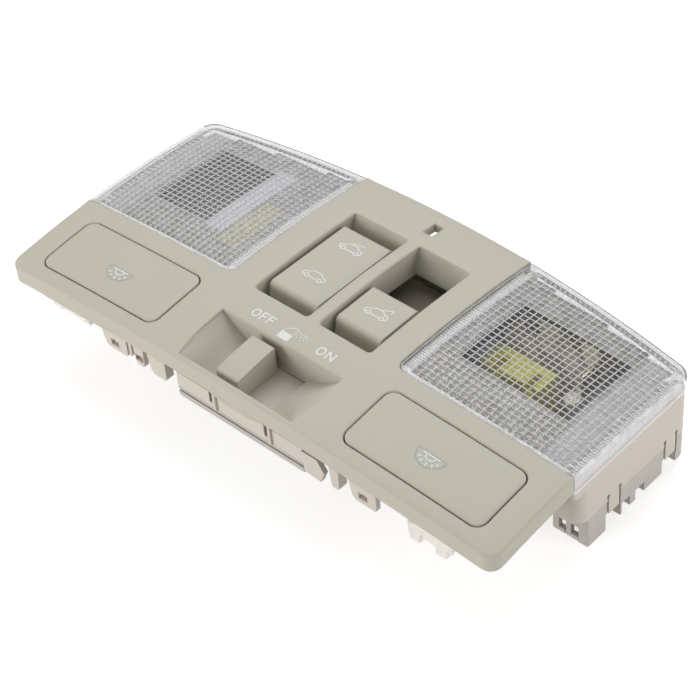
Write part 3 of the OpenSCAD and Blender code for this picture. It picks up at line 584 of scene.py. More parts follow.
class DOMELIGHT_OT_finishes(bpy.types.Operator):
    """Builds the shared shader groups and gives every node its finish"""
    bl_idname = "domelight.finishes"
    bl_label = "Finishes"

    def execute(self, context):
        c = context.scene.dome_light_colours
        GROUPS["grain"] = grain_group()
        GROUPS["cells"] = cell_group()
        # Name, colour, gloss, clouds, grain, specular, softened edge, metallic and painted emission; the
        # bulb holder's emission is painted light
        for finish, *look in (
                ("face", "Face plastic", c.face, 0.52, 0.05, 0.5, 0.35),
                ("housing", "Housing plastic", c.housing, 0.50, 0.05, 0.4, 0.35),
                ("cover", "Cover plastic", c.cover, 0.55, 0.06, 0.5, 0.3),
                ("dark", "Switch plastic", shade(58, 57, 58), 0.45, 0.2, 0.6, 0.4),
                # The rocker base's dark beige is painted shade: it passes for the pit's beige walls in
                # shadow
                ("base", "Rocker base plastic", shade(112, 105, 94), 0.5, 0.1, 0.5, 0.3),
                ("carriage", "Carriage plastic", shade(196, 190, 180), 0.45, 0.05, 0.3),
                ("holder", "Bulb holder plastic", c.holder, 0.35, 0.2, 0.4, 0.4, 0.0005, 0.0, 0.05),
                ("steel", "Bright steel", shade(190, 192, 196), 0.3, 0.1, 0.5, 0.5, 0, 1.0),
                ("brass", "Rolled brass", shade(214, 194, 158), 0.4, 0.2, 0.5, 0.5, 0.0001, 1.0),
                ("board", "Coated board", shade(52, 96, 64), 0.35, 0.3, 0.6, 0.5, 0),
                ("plug", "Plug plastic", shade(226, 224, 216), 0.4, 0.05, 0.4),
                ("tray", "Lamp tray", shade(50, 49, 50), 0.4, 0.2, 0.5),
                ("end", "Trough end", shade(158, 164, 178), 0.35, 0.2, 0.4)):
            FINISH[finish] = moulded(*look)
        self.paint_cold_light(FINISH["holder"])
        FINISH["mirror"] = self.painted_reflection_metal(c.trough)
        FINISH["glass"] = self.glass()
        FINISH["guide"] = self.clear_bar()
        plain = {"rear_cover": "cover", "slide_rocker_pin": "steel", "tilt_rocker_pin": "steel",
                 "cover_screws": "steel", "rocker_base": "base", "slide_switch_base": "dark",
                 "knob_carriage": "carriage", "circuit_board": "board", "connector": "plug",
                 "housing": "housing"}
        for side in ("left", "right"):
            plain.update({f"button_carrier_{side}": "housing", f"push_switch_{side}": "dark",
                          f"button_spring_{side}": "steel", f"bulb_holder_{side}": "holder",
                          f"contacts_{side}": "brass", f"bulb_{side}": "glass",
                          f"light_guide_{side}": "guide"})
            self.trough(f"reflector_{side}")
        for piece, finish in plain.items():
            finish_node(piece, FINISH[finish])
        return {"FINISHED"}

    def painted_reflection_metal(self, colour):
        """Metallised plastic with painted reflections: a wavy tint, pale streaks and pearls, a few dark
        patches and a faint painted emission.
        """
        m, tree, b = fresh("Metallised trough", 0.30, 0.35, 0.5)
        at, xyz = coordinates(tree)
        clouds = noise(tree, 150, 2, at)
        wave = times(tree, maths(tree, "SUBTRACT", clouds, 0.5), 0.009)
        flat = node(tree, "CombineXYZ", X=maths(tree, "ADD", maths(tree, "ABSOLUTE", xyz["X"]), wave),
                    Y=maths(tree, "SUBTRACT", xyz["Y"], wave)).outputs[0]
        # Painted reflection: the tint wavers between the trough's colour and a pale brown
        painted_light_colour = blend_colour(tree, ramp(tree, clouds, 0.35, 0.70), tuple(colour), shade(128, 112, 102))
        for x, y, long, wide, lean, tint in PAINTED_REFLECTIONS:
            spot = node(tree, "Mapping")
            spot.vector_type = "TEXTURE"
            fed(spot, Location=(x, y, 0), Rotation=(0, 0, math.radians(lean)), Scale=(long, wide, 1),
                Vector=flat)
            ball = node(tree, "TexGradient", Vector=spot.outputs[0])
            ball.gradient_type = "SPHERICAL"
            fade = ramp(tree, ball.outputs["Fac"], 0.0, 0.45, smooth=True)
            painted_light_colour = blend_colour(tree, fade, painted_light_colour, shade(*tint))
        # Faint emission: painted light that keeps the painted reflections bright
        fed(b, Base_Color=painted_light_colour, Emission_Color=painted_light_colour, Emission_Strength=0.08)
        return m

    def paint_cold_light(self, m):
        """Paints cold light on a material: its colour and its emission blend into a cold grey towards the
        lamp's inner end.
        """
        tree = m.node_tree
        b = tree.nodes["Principled BSDF"]
        off = maths(tree, "ABSOLUTE", coordinates(tree)[1]["X"])
        warm = b.inputs["Base Color"].links[0].from_socket
        painted_light_colour = blend_colour(tree, ramp(tree, off, 0.0545, 0.0505, smooth=True), warm, shade(136, 146, 160))
        fed(b, Base_Color=painted_light_colour, Emission_Color=painted_light_colour)

    def glass(self):
        m, tree, b = mottled("Bulb glass", 0.05, 0.6, 120, (236, 226, 214), (250, 246, 240))
        fed(b, Alpha=scaled(tree, facing(tree, 0.45), 0.5, 0.1, clamp=True))
        return m

    def clear_bar(self):
        m, tree, b = mottled("Clear bar", 0.12, 0.5, 330, (222, 206, 192), (255, 253, 250), 3, (0.40, 0.60))
        fed(b, Alpha=scaled(tree, facing(tree, 0.5), 0.7, 0.16, clamp=True))
        return m

    def trough(self, piece):
        """Bright metal inside the trough, moulded tray elsewhere."""
        finish_node(piece, FINISH["tray"], FINISH["mirror"], FINISH["end"])
        low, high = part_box(piece)
        for f in NODES[piece].data.polygons:
            if f.center.z < high.z - TROUGH_UNDER:
                f.material_index = 2 if f.normal.x > 0.9 and f.center.z > low.z + 0.001 else 1


class DOMELIGHT_OT_face(bpy.types.Operator):
    """Softens the rims of the face, its windows and the two map buttons"""
    bl_idname = "domelight.face"
    bl_label = "Face and buttons"

    def execute(self, context):
        s = context.scene.dome_light_sizes

        def rim(x, y):
            """Radius of the face's rim: round along its free edges, crisp beside the lenses."""
            away = math.hypot(max(LENS_SIDE - abs(x), 0), max(LENS_FRONT - y, 0))
            t = min(away / 0.004, 1)
            return s.lens_side_round + (s.rim_round - s.lens_side_round) * t * t * (3 - 2 * t)

        soft_face("fascia", rim, s.window_round, FINISH["face"], "console")
        for side in ("left", "right"):
            soft_face(f"map_button_{side}", lambda x, y: s.button_round, s.button_round, FINISH["face"],
                      f"map_button_{side}", 3)
        return {"FINISHED"}


# Ribs of the front box: their middle in x and their top, then their size, middle in y and foot
RIBS = ((-0.0113, 0.0338), (0.0159, 0.0349))
RIB_W, RIB_D, RIB_Y, RIB_FOOT = 0.0013, 0.0009, -0.05706, 0.0254


class DOMELIGHT_OT_ribs(bpy.types.Operator):
    """Sets the two slim upright ribs on the front box, one beside each window"""
    bl_idname = "domelight.ribs"
    bl_label = "Front ribs"

    def execute(self, context):
        bm = bmesh.new()
        for x, top in RIBS:
            cube = bmesh.ops.create_cube(bm, size=1.0)["verts"]
            bmesh.ops.scale(bm, vec=(RIB_W, RIB_D, top - RIB_FOOT), verts=cube)
            bmesh.ops.translate(bm, vec=(x, RIB_Y, (top + RIB_FOOT) / 2), verts=cube)
        mesh_object("front_ribs", bm, FINISH["housing"], "console")
        return {"FINISHED"}


class DOMELIGHT_OT_switches(bpy.types.Operator):
    """Rounds the edges of the rockers and the slide knob"""
    bl_idname = "domelight.switches"
    bl_label = "Rockers and knob"

    def execute(self, context):
        s = context.scene.dome_light_sizes
        for piece in ("slide_rocker", "tilt_rocker", "dome_knob"):
            soft_block(piece, s.button_round, FINISH["face"], piece)
        return {"FINISHED"}


# ---- Lenses

# Outline of the right lens: its inner side, its front and its front corner's radius
LENS_X, LENS_Y, LENS_R = 0.04025, -0.01675, 0.00375
LEAST_R = 0.0008
LENS_WALL = 0.0020
LENS_ROUND = 0.0012
GRID = {"x0": 0.0447, "x1": 0.1134, "y0": -0.01445, "y1": 0.0505}
# How far the grid ends before the back edge, and the radius of its back corner
GRID_BACK, GRID_CORNER = 0.0052, 0.004
# Depth of the cells under the crown
CELL_DEPTH = 0.0019
# Flat part of each lens's grid over its lamp: x from and to, y from and to
WINDOW = {1: (0.0512, 0.0995, 0.0010, 0.0390), -1: (0.0690, 0.0990, -0.0010, 0.0385)}


def over_window(side, x, y, short=0.0):
    x0, x1, y0, y1 = WINDOW[side]
    return x0 < x < x1 and y0 < y < y1 - short


def back_edge(x, inset):
    """Depth of the curved back edge, drawn in by inset."""
    return BACK - BACK_R + math.sqrt((BACK_R - inset) ** 2 - x * x)


def bend(cx, cy, r, start, turn, n):
    """Points along an arc, in radians."""
    return [(cx + r * math.cos(start + turn * k / n), cy + r * math.sin(start + turn * k / n))
            for k in range(n + 1)]


def straight(a, b, n):
    """Points between two ends, without the first one."""
    return [(a[0] + (b[0] - a[0]) * k / n, a[1] + (b[1] - a[1]) * k / n) for k in range(1, n + 1)]


def lens_loop(inset=0.0, fine=10, along=30, down=24):
    """Outline of the right lens, counter-clockwise, drawn in by inset."""
    x0, y0, w = LENS_X + inset, LENS_Y + inset, HALF_W - inset
    back_r, back_y = BACK_R - inset, BACK - BACK_R
    r, rb = max(LENS_R - inset, LEAST_R), max(CORNER_R - inset, LEAST_R)
    cx = w - rb
    cy = back_y + math.sqrt((back_r - rb) ** 2 - cx * cx)
    end, stop = math.atan2(cy - back_y, cx), math.acos(x0 / back_r)
    pts = bend(x0 + r, y0 + r, r, math.pi, math.pi / 2, fine)
    pts += straight((x0 + r, y0), (w, y0), along)
    pts += straight((w, y0), (w, cy), down)[:-1]
    pts += bend(cx, cy, rb, 0, end, fine)
    pts += bend(0, back_y, back_r, end, stop - end, along)[1:]
    pts += straight((x0, pts[-1][1]), (x0, y0 + r), down)[:-1]
    return pts


def flipped(loop, side):
    return loop if side > 0 else [(-x, y) for x, y in loop][::-1]


def ring(bm, low, high):
    """Joins two rows of points with faces."""
    rows = [[bm.verts.new(p) for p in row] for row in (low, high)]
    for j in range(len(low)):
        q = (j + 1) % len(low)
        bm.faces.new([rows[0][j], rows[0][q], rows[1][q], rows[1][j]])


def under_crown(bm, side, points, kind=0):
    """A face under the crown of a lens; each point of the right lens has its x, y and depth."""
    made = [bm.verts.new((side * x, y, crown(x, y, depth))) for x, y, depth in points]
    bm.faces.new(made if side > 0 else made[::-1]).material_index = kind


def steps(first, step, limit):
    """Numbers from first up to the limit, by adding one step after the other."""
    while first < limit:
        yield first
        first += step


def in_grid(x, y):
    """Whether this place of the right lens lies in the grid, clear of its curved back corner."""
    if not (GRID["x0"] <= x <= GRID["x1"] and GRID["y0"] <= y):
        return False
    edge = back_edge(x, GRID_BACK)
    cx, cy = GRID["x1"] - GRID_CORNER, edge - GRID_CORNER
    if x > cx and y > cy:
        return math.hypot(x - cx, y - cy) < GRID_CORNER
    return y < edge


class DOMELIGHT_OT_lenses(bpy.types.Operator):
    """Builds the clear shells, the sheets of pillow cells under them and their fine ridges"""
    bl_idname = "domelight.lenses"
    bl_label = "Lenses"

    def execute(self, context):
        self.s = context.scene.dome_light_sizes
        self.c = context.scene.dome_light_colours
        shell = [self.shell_finish(), self.misty("Lens rim", 206, 244, 0.62, 260.0),
                 self.misty("Lens wall", 240, 253, 0.55, 140.0),
                 self.misty("Lens back rim painted shade", 132, 168, 0.92, 260.0)]
        ridges = {-1: self.ridge_finish("left", 226, 252), 1: self.ridge_finish("right", 236, 255)}
        dashes = self.misty("Lens dashes", 140, 170, 0.95)
        borders = {-1: self.misty("Lens border left", 222, 252, 0.93, 900),
                   1: self.misty("Lens border right", 200, 250, 0.93, 900)}
        # A darker grey strip: painted shade in the groove
        groove = self.misty("Lens groove painted shade", 128, 160, 0.80)
        # The flutes' stripes, stretched upright, are painted light and shade
        painted_stripes = self.misty("Lens flutes painted stripes", 214, 255, 0.94, 1.0, (900, 900, 30))
        for side, word in ((-1, "left"), (1, "right")):
            self.shell(side, word, shell)
            self.border(side, word, [borders[side], dashes])
            self.groove(side, word, groove)
            self.flutes(side, word, painted_stripes)
            self.cells(side, word, self.cell_finish(word, side))
            self.ridges(side, word, ridges[side])
        return {"FINISHED"}

    def shell_finish(self):
        m, tree, b = mottled("Clear lens", 0.08, 0.5, 160, (244, 245, 247), (252, 252, 252))
        soft = maths(tree, "POWER", facing(tree, 0.35), 3.0)
        fed(b, Alpha=scaled(tree, soft, 0.8, 0.03, clamp=True))
        return m

    def misty(self, name, low, high, alpha, scale=500.0, stretch=(1, 1, 1)):
        """Clear plastic with a cloudy tint that wavers between two greys; stretched, it paints stripes of
        light and shade.
        """
        m, tree, b = fresh(name, 0.25, 0, 0.4)
        turn = node(tree, "Mapping", Scale=stretch, Vector=coordinates(tree)[0])
        cloud = ramp(tree, noise(tree, scale, 3, turn.outputs[0]), 0.36, 0.64)
        fed(b, Base_Color=blend_colour(tree, cloud, shade(low, low, low), shade(high, high, high + 1)),
            Alpha=alpha)
        return m

    def ridge_finish(self, word, low, high):
        m, tree, b = fresh(f"Lens ridges {word}", 0.2, 0, 0.5)
        share = noise(tree, 420)
        fed(b, Base_Color=blend_colour(tree, share, shade(low, low, low), shade(high, high, high)),
            Alpha=scaled(tree, share, 0.3, 0.78, clamp=True))
        return m

    def cell_finish(self, word, side):
        """Cell material of one lens: see-through over the lamp window, painted dark blots of shade and
        painted highlights elsewhere.
        """
        m, tree, b = fresh(f"Lens cells {word}", 0.22, 0, 0.5)
        c, s = self.c, self.s
        g = place(m, "cells", Width=s.cell_w, Depth=s.cell_d, Dark=tuple(c.dark_cell),
                  Light=tuple(c.light_cell), Spot=shade(240, 236, 226), Contrast=1.0 if side > 0 else 0.78)
        xyz = coordinates(tree)[1]

        def zone(x0, x1, y0, y1, soft=0.0006):
            """One inside a rectangle of the frame and nothing outside it, with a soft edge."""
            out = None
            for axis, low, high in (("X", x0, x1), ("Y", y0, y1)):
                for edge, sign in ((low, 1), (high, -1)):
                    past = ramp(tree, xyz[axis], edge - soft * sign, edge + soft * sign, smooth=True)
                    out = past if out is None else times(tree, out, past)
            return out

        def tinted(colour, where, amount, tint):
            share = where if amount == 1 else times(tree, where, amount)
            return blend_colour(tree, share, colour, shade(*tint))

        # Along the front the painted highlights grow, their edges fray more and the cells take a darker tint
        front = zone(-0.1134, 0.1134, -0.0180, 0.0020, 0.0015)
        amount = 1.0 if side > 0 else 0.35
        fed(g, Chips=scaled(tree, front, 0.8 * amount, 0.10), Spark=times(tree, front, 0.7 * amount))
        colour = tinted(g.outputs["Color"], front, 0.25 * amount, (118, 114, 106))
        outer = zone(*((0.1025, 0.1200) if side > 0 else (-0.1200, -0.1025)), -0.0200, 0.0600, 0.0015)
        colour = tinted(colour, outer, 0.45, (196, 197, 200))
        if side > 0:
            window, clear = zone(0.0526, 0.1004, 0.0024, 0.0385), 0.90
            colour = tinted(colour, window, 1, (150, 150, 154))
        else:
            window, clear = zone(-0.0990, -0.0708, 0.0006, 0.0382), 0.20
            band = zone(-0.0706, -0.0612, -0.001, 0.0410, 0.0012)
            warm = zone(-0.0600, -0.0500, -0.0050, 0.0220, 0.0015)
            # Painted on the sheet over the left lamp: its dark inside, partly dark parts and partly painted
            # shade, in a nearly opaque grey
            colour = tinted(colour, window, 1, (84, 84, 86))
            colour = tinted(colour, band, 0.8, (196, 196, 210))
            colour = tinted(colour, warm, 0.3, (206, 200, 132))
        fed(b, Base_Color=colour, Alpha=maths(tree, "SUBTRACT", 0.95, times(tree, window, clear)))
        return m

    def shell(self, side, word, material):
        """Crowned top and wall of a lens, with a rounded rim: glass, rim, wall and a back rim in painted
        shade.
        """
        r, turns = LENS_ROUND, 4
        bm = bmesh.new()
        outline = flipped(lens_loop(), side)
        rows = [[(x, y, RIM_Z) for x, y in outline],
                [(x, y, crown(x, y) - r) for x, y in outline]]
        for s in range(1, turns + 1):
            a = math.pi / 2 * s / turns
            pts = inset_loop(outline, [r * (1 - math.cos(a))] * len(outline))
            rows.append([(x, y, crown(x, y) - r * (1 - math.sin(a))) for x, y in pts])
        for low, high in zip(rows, rows[1:]):
            ring(bm, low, high)
        fill_between(bm, [[(p[0], p[1]) for p in rows[-1]]], crown)
        inner = flipped(lens_loop(LENS_WALL), side)
        ring(bm, [(x, y, crown(x, y, LENS_WALL)) for x, y in inner], [(x, y, RIM_Z) for x, y in inner])
        bmesh.ops.remove_doubles(bm, verts=bm.verts, dist=1e-6)
        bmesh.ops.recalc_face_normals(bm, faces=bm.faces)
        for f in bm.faces:
            low, high = min(v.co.z for v in f.verts), max(v.co.z for v in f.verts)
            if high - low > 0.004:
                f.material_index = 2
            # Back rim faces, turned to the back, get a darker copy of the rim's finish: painted shade
            elif f.normal.y > 0.2 and f.normal.z < 0.975 and f.calc_center_median().y > 0:
                f.material_index = 3
            elif abs(f.normal.z) < 0.93:
                f.material_index = 1
        mesh_object(f"lens_shell_{word}", bm, material, "console", [f"lens_{word}"])

    def border(self, side, word, material):
        """Cloudy strips along the front, the outer and the inner edge, under the clear shell."""
        bm = bmesh.new()
        r = 0.0028
        x0, y0, x1 = 0.04045, -0.01655, HALF_W - 0.0003
        # Inner edges of the outer, the front and the inner strip, and where the strips end at the back
        outer, front, inner, back = 0.1121, -0.0142, 0.0450, 0.0500
        loop = [(x0, back)] + [(x0, y0 + r)] + [(x0 + r + r * math.cos(a), y0 + r + r * math.sin(a))
                                                for a in (math.pi * (1 + k / 16) for k in range(1, 8))]
        loop += [(x0 + r, y0)] + [(x0 + r + (x1 - x0 - r) * k / 24, y0) for k in range(1, 24)]
        loop += [(x1, y0), (x1, 0.015), (x1, 0.0430), (outer, 0.0430), (outer, 0.015), (outer, front)]
        loop += [(outer - (outer - inner) * k / 24, front) for k in range(1, 24)]
        loop += [(inner, front), (inner, 0.018), (inner, back)]
        fill_between(bm, [flipped(loop, side)], lambda x, y: crown(x, y, 0.0018), 0.003, 0.0006)
        self.back_band(bm, side)
        mesh_object(f"lens_border_{word}", bm, material, "console")

    def back_band(self, bm, side):
        """Cloudy band behind the cells along the curved back edge, with a row of grey dashes on it."""
        near, mid, far = lens_loop(0.0014), lens_loop(0.0034), lens_loop(0.0100)
        back = [k for k in range(len(near) - 1)
                if min(near[k][1], near[k + 1][1]) > 0.0370 and min(near[k][0], near[k + 1][0]) > 0.0420]
        for k in back:
            for (a, da), (b, db) in (((near, 0.0019), (mid, 0.0021)), ((mid, 0.0021), (far, 0.0024))):
                under_crown(bm, side, [(*a[k], da), (*a[k + 1], da), (*b[k + 1], db), (*b[k], db)])
        for x in steps(0.0480, 0.0024, 0.1080):
            y = back_edge(x, 0.0024)
            fall = x / BACK_R
            under_crown(bm, side, [(x - 0.0007, y + 0.0004 + 0.0007 * fall, 0.0016),
                                   (x - 0.0007, y - 0.0003, 0.0016),
                                   (x + 0.0006, y - 0.0004 - 0.0007 * fall, 0.0016),
                                   (x + 0.0006, y + 0.0002, 0.0016)], 1)

    def groove(self, side, word, material):
        """Dark strip under the shell along the outer and the back edge: the painted shade of a thin groove.
        """
        bm = bmesh.new()
        a, b = lens_loop(0.0045), lens_loop(0.0048)
        for k in range(len(a) - 1):
            along_edge = a[k][0] > HALF_W - 0.006 or a[k][1] > 0.040 and a[k][0] > 0.0470
            if along_edge and a[k][1] >= -0.012 and a[k + 1][0] >= 0.0465:
                under_crown(bm, side, [(*a[k], 0.00015), (*a[k + 1], 0.00015), (*b[k + 1], 0.00045),
                                       (*b[k], 0.00045)])
        mesh_object(f"lens_groove_shade_{word}", bm, material, "console")

    def flutes(self, side, word, material):
        """Upright flutes inside the lens's outer wall."""
        bm = bmesh.new()
        rows = []
        for k, y in enumerate(steps(-0.0150, 0.0009, 0.0450)):
            x = HALF_W - 0.0010 - 0.00055 * (k % 2)
            rows.append([bm.verts.new((side * x, y, RIM_Z + 0.0004)),
                         bm.verts.new((side * x, y, crown(x, y, 0.0016)))])
        for p, q in zip(rows, rows[1:]):
            f = [p[0], q[0], q[1], p[1]]
            bm.faces.new(f if side > 0 else f[::-1])
        mesh_object(f"lens_flutes_{word}", bm, material, "console", smooth=10)

    def cells(self, side, word, material):
        """One sheet of pillows: every cell bulges between its ridges."""
        s = self.s
        n = s.cell_steps
        w, d = s.cell_w, s.cell_d
        bm = bmesh.new()
        for x in steps(math.ceil(GRID["x0"] / w) * w, w, GRID["x1"] - w * 0.5):
            for y in steps(math.ceil(GRID["y0"] / d) * d, d, GRID["y1"]):
                if not in_grid(x + w / 2, y + d / 2):
                    continue
                h = s.cell_h * (0.25 if over_window(side, x, y, 0.0014) else 1)
                made = []
                for j in range(n + 1):
                    made.append([])
                    for i in range(n + 1):
                        px, py = x + w * i / n, y + d * j / n
                        up = h * math.sin(math.pi * i / n) * math.sin(math.pi * j / n)
                        made[j].append(bm.verts.new((side * px, py, crown(px, py, CELL_DEPTH) + up)))
                for j in range(n):
                    for i in range(n):
                        q = [made[j][i], made[j][i + 1], made[j + 1][i + 1], made[j + 1][i]]
                        bm.faces.new(q if side > 0 else q[::-1])
        mesh_object(f"lens_cells_{word}", bm, material, "console", smooth=60)

    def ridges(self, side, word, material):
        """Fine ridges along both ways of the grid, and the combed band along the inner edge."""
        s = self.s
        bm = bmesh.new()

        def line(points, width, depth=CELL_DEPTH, rise=0.00045, weak=False):
            """A low roof along a row of points, lower outside the window where it is a weak one."""
            along = Vector(points[1]) - Vector(points[0])
            across = Vector((-along.y, along.x)).normalized() * width / 2
            rows = []
            for p in points:
                low = weak and not over_window(side, *p)
                half = across * (0.55 if low else 1)
                a = (p[0] + half.x, p[1] + half.y)
                c = (p[0] - half.x, p[1] - half.y)
                rows.append([bm.verts.new((side * q[0], q[1], crown(q[0], q[1], depth) + up))
                             for q, up in ((a, 0), (p, rise * (0.5 if low else 1)), (c, 0))])
            for p, q in zip(rows, rows[1:]):
                for k in (0, 1):
                    f = [p[k], q[k], q[k + 1], p[k + 1]]
                    bm.faces.new(f[::-1] if side > 0 else f)

        for x in steps(math.ceil(GRID["x0"] / s.cell_w) * s.cell_w, s.cell_w, GRID["x1"] + s.cell_w):
            ys = [GRID["y0"] + k * 0.0012 for k in range(60)]
            ys = [y for y in ys if in_grid(min(x, GRID["x1"]), y)]
            if len(ys) > 3:
                line([(x, y) for y in ys[::2]], s.ridge_w, weak=side > 0)
        for y in steps(math.ceil(GRID["y0"] / s.cell_d) * s.cell_d, s.cell_d, GRID["y1"] + s.cell_d):
            xs = [GRID["x0"] + k * 0.0014 for k in range(50)]
            xs = [x for x in xs if in_grid(x, y - 0.0004)]
            if len(xs) > 3:
                line([(x, y) for x in xs[::2]], s.ridge_w, weak=side < 0)
        for y in steps(-0.0120, 0.0012, 0.0520):
            line([(0.0410, y), (0.0428, y), (0.0446, y)], 0.0009, 0.0017, 0.0004)
        for y in steps(-0.0150, 0.0012, 0.0440):
            line([(0.1142, y), (0.1152, y), (0.1162, y)], 0.0006, 0.0016, 0.0003)
        mesh_object(f"lens_ridges_{word}", bm, material, "console", smooth=20)


# ---- Words and symbols


def arc(cx, cy, rx, ry, a0, a1, n=14):
    return [(cx + rx * math.cos(math.radians(a0 + (a1 - a0) * k / n)),
             cy + ry * math.sin(math.radians(a0 + (a1 - a0) * k / n))) for k in range(n + 1)]


def placed(lines, at, scale=1.0):
    """Moves lines from their own frame, in mm, to a place of the face."""
    return [[((at[0] + x * scale) * MM, (at[1] + y * scale) * MM) for x, y in line] for line in lines]


def ink(name, lines, width, height, body, material, fills=(), lift=0.00004):
    """Thin printed lines and filled shapes that follow a surface."""
    bm = bmesh.new()
    k = 0

    def patch(points):
        """A flat patch of print, each a touch over the last so that they don't flicker."""
        up = lift + (k % 7) * 1.5e-6
        made = [bm.verts.new((x, y, height(x, y) + up)) for x, y in points]
        if turned(points) < 0:
            made.reverse()
        bm.faces.new(made)

    for line in lines:
        for a, b in zip(line, line[1:]):
            d = Vector((b[0] - a[0], b[1] - a[1]))
            if d.length < 1e-7:
                continue
            cuts = max(1, int(d.length / 0.0015))
            n = Vector((-d.y, d.x)).normalized() * width / 2
            for c in range(cuts):
                p = Vector(a) + d * (c / cuts)
                q = Vector(a) + d * ((c + 1) / cuts)
                patch([(p.x - n.x, p.y - n.y), (q.x - n.x, q.y - n.y), (q.x + n.x, q.y + n.y),
                       (p.x + n.x, p.y + n.y)])
            k += 1
        for p in line:
            patch([(p[0] + width / 2 * math.cos(s * math.pi / 4),
                    p[1] + width / 2 * math.sin(s * math.pi / 4)) for s in range(8)])
            k += 1
    for shape in fills:
        loop = shape if turned(shape) > 0 else shape[::-1]
        fill_between(bm, [loop], lambda x, y: height(x, y) + lift, 0.002, 0.0004)
    return mesh_object(name, bm, material, body, smooth=60)


# Symbols and words in mm, each in its own frame
LAMP = [[(-3.4, -0.6), (3.7, -0.6)], arc(0.1, -0.7, 2.1, 2.1, 180, 360, 14),
        [(-3.1, -2.6), (-4.0, -3.1)], [(-1.7, -3.7), (-2.2, -4.5)], [(0.4, -4.0), (0.5, -5.0)],
        [(2.5, -3.5), (2.9, -4.3)], [(3.7, -2.3), (4.4, -2.7)]]
CAR = [[(-5.4, -0.9), (-5.5, 0.3), (-4.9, 0.9), (-3.6, 1.2), (-2.2, 2.5), (1.2, 2.7), (3.0, 1.4), (4.6, 1.1),
        (5.2, 0.3), (5.2, -0.7), (4.4, -1.0)],
       [(-5.4, -0.9), (-4.5, -1.1)], arc(-3.3, -1.1, 1.1, 1.1, 180, 0, 10),
       arc(3.2, -1.1, 1.1, 1.1, 180, 0, 10), arc(-3.3, -1.1, 0.75, 0.75, 180, 360, 8),
       arc(3.2, -1.1, 0.75, 0.75, 180, 360, 8),
       [(-2.2, -1.1), (2.1, -1.1)]]
# What each rocker symbol adds to the car's outline: nothing, a tilted roof or an opened one
ROOFS = ([], [[(-1.4, 3.1), (3.4, 4.4)]], [[(0.6, 3.0), (4.4, 5.0), (4.6, 3.4)]])
# Each rocker's symbols: x, y and which of the roofs
ROCKER_SYMBOLS = {"slide_rocker": ((-14.9, 0.9, 0), (-14.9, 20.5, 1)), "tilt_rocker": ((16.6, -0.5, 2),)}
WORD_OFF = [arc(1.45, 1.75, 1.4, 1.7, 0, 360, 24), [(4.2, 0), (4.2, 3.5), (6.4, 3.5)],
            [(4.2, 1.85), (6.1, 1.85)], [(7.6, 0), (7.6, 3.5), (9.8, 3.5)], [(7.6, 1.85), (9.5, 1.85)]]
WORD_ON = [arc(1.6, 1.75, 1.5, 1.7, 0, 360, 24), [(4.6, 0), (4.6, 3.5), (7.4, 0), (7.4, 3.5)]]
DOOR = [[(0, 0), (5.2, 0), (5.2, 3.2), (0, 3.4)]]
DOOR_FRAME = [[(0.2, 3.4), (1.2, 5.2), (3.4, 6.6), (5.2, 6.8), (5.2, 3.3)]]
DOOR_AT, DOOR_LAMP_AT = (-3.8, -31.0), (4.4, -24.8)
WORD_STROKE, CAR_STROKE, DOOR_STROKE, LAMP_STROKE = 0.00070, 0.00050, 0.00034, 0.00058


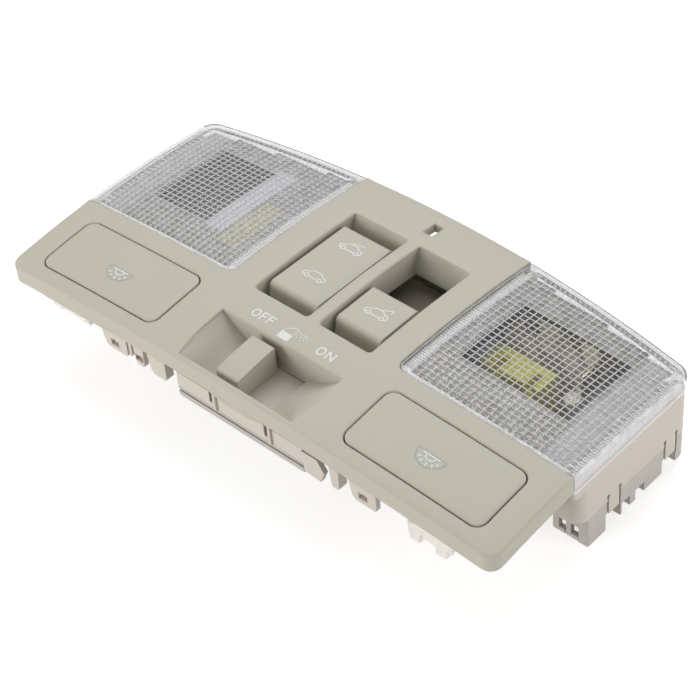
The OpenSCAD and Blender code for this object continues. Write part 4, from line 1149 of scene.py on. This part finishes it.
class DOMELIGHT_OT_prints(bpy.types.Operator):
    """Prints the plain words and symbols on the face, the buttons and the rockers"""
    bl_idname = "domelight.prints"
    bl_label = "Prints"

    def execute(self, context):
        c = context.scene.dome_light_colours
        white = moulded("White print", c.print_ink, 0.5, 0.04, 0.3, 0.3, 0)
        grey = moulded("Symbol window", shade(182, 183, 174), 0.4, 0.03, 0.3, 0.35, 0)
        rim = moulded("Symbol rim painted shade", shade(160, 159, 150), 0.5, 0.04, 0.3, 0.3, 0)
        ink("print_off", placed(WORD_OFF, (-18.9, -28.5)), WORD_STROKE, crown, "console", white)
        ink("print_on", placed(WORD_ON, (13.0, -28.9)), WORD_STROKE, crown, "console", white)
        ink("print_door", placed(DOOR_FRAME, DOOR_AT) + placed(LAMP, DOOR_LAMP_AT, 0.62), DOOR_STROKE, crown,
            "console", white, placed(DOOR, DOOR_AT))
        for side, word in ((-1, "left"), (1, "right")):
            at = (side * 75.9, -38.7)
            window = placed([arc(0, 0, 6.1, 5.6, 180, 360, 28)], at)
            body = f"map_button_{word}"
            ink(f"symbol_window_{word}", [], 0, crown, body, grey, window, 0.00003)
            # A darker line round each symbol window: the painted shade at the edge of its groove
            ink(f"symbol_rim_shade_{word}", [window[0] + window[0][:1]], 0.00020, crown, body, rim)
            ink(f"print_lamp_{word}", placed(LAMP, at), LAMP_STROKE, crown, body, white, lift=0.00007)
        for rocker, symbols in ROCKER_SYMBOLS.items():
            top = self.rocker_top(rocker)
            for k, (x, y, roof) in enumerate(symbols):
                car = placed(CAR + ROOFS[roof], (x, y), 0.95)
                ink(f"print_{rocker}_{k}", car, CAR_STROKE, top, rocker, white)
        return {"FINISHED"}

    def rocker_top(self, rocker):
        """Plane of a rocker's largest top face."""
        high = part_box(rocker)[1]
        up = [f for f in NODES[rocker].data.polygons if f.normal.z > 0.98 and f.center.z > high.z - 0.003]
        best = max(up, key=lambda f: f.area)
        n, p = best.normal.copy(), best.center.copy()
        return lambda x, y: p.z - (n.x * (x - p.x) + n.y * (y - p.y)) / n.z


class DOMELIGHT_PT_panel(bpy.types.Panel):
    """Lists the steps that dress the dome light"""
    bl_label = "Dome Light"
    bl_idname = "DOMELIGHT_PT_panel"
    bl_space_type = "VIEW_3D"
    bl_region_type = "UI"
    bl_category = "Dome Light"

    def draw(self, context):
        for group_name in ("dome_light_sizes", "dome_light_colours"):
            owner = getattr(context.scene, group_name)
            for field in owner.bl_rna.properties:
                if not field.is_readonly and field.identifier != "name":
                    self.layout.prop(owner, field.identifier)
        for step in STEPS:
            self.layout.operator(step.bl_idname)


STEPS = (DOMELIGHT_OT_stage, DOMELIGHT_OT_finishes, DOMELIGHT_OT_face, DOMELIGHT_OT_ribs,
         DOMELIGHT_OT_switches, DOMELIGHT_OT_lenses, DOMELIGHT_OT_prints)
CLASSES = (DomeLightSizes, DomeLightColours) + STEPS + (DOMELIGHT_PT_panel,)


def register():
    for c in CLASSES:
        bpy.utils.register_class(c)
    bpy.types.Scene.dome_light_sizes = PointerProperty(type=DomeLightSizes)
    bpy.types.Scene.dome_light_colours = PointerProperty(type=DomeLightColours)


def unregister():
    del bpy.types.Scene.dome_light_colours
    del bpy.types.Scene.dome_light_sizes
    for c in reversed(CLASSES):
        bpy.utils.unregister_class(c)


def main():
    register()
    bpy.ops.domelight.stage()
    bpy.ops.domelight.finishes()
    bpy.ops.domelight.face()
    bpy.ops.domelight.ribs()
    bpy.ops.domelight.switches()
    bpy.ops.domelight.lenses()
    bpy.ops.domelight.prints()


if __name__ == "__main__":
    main()
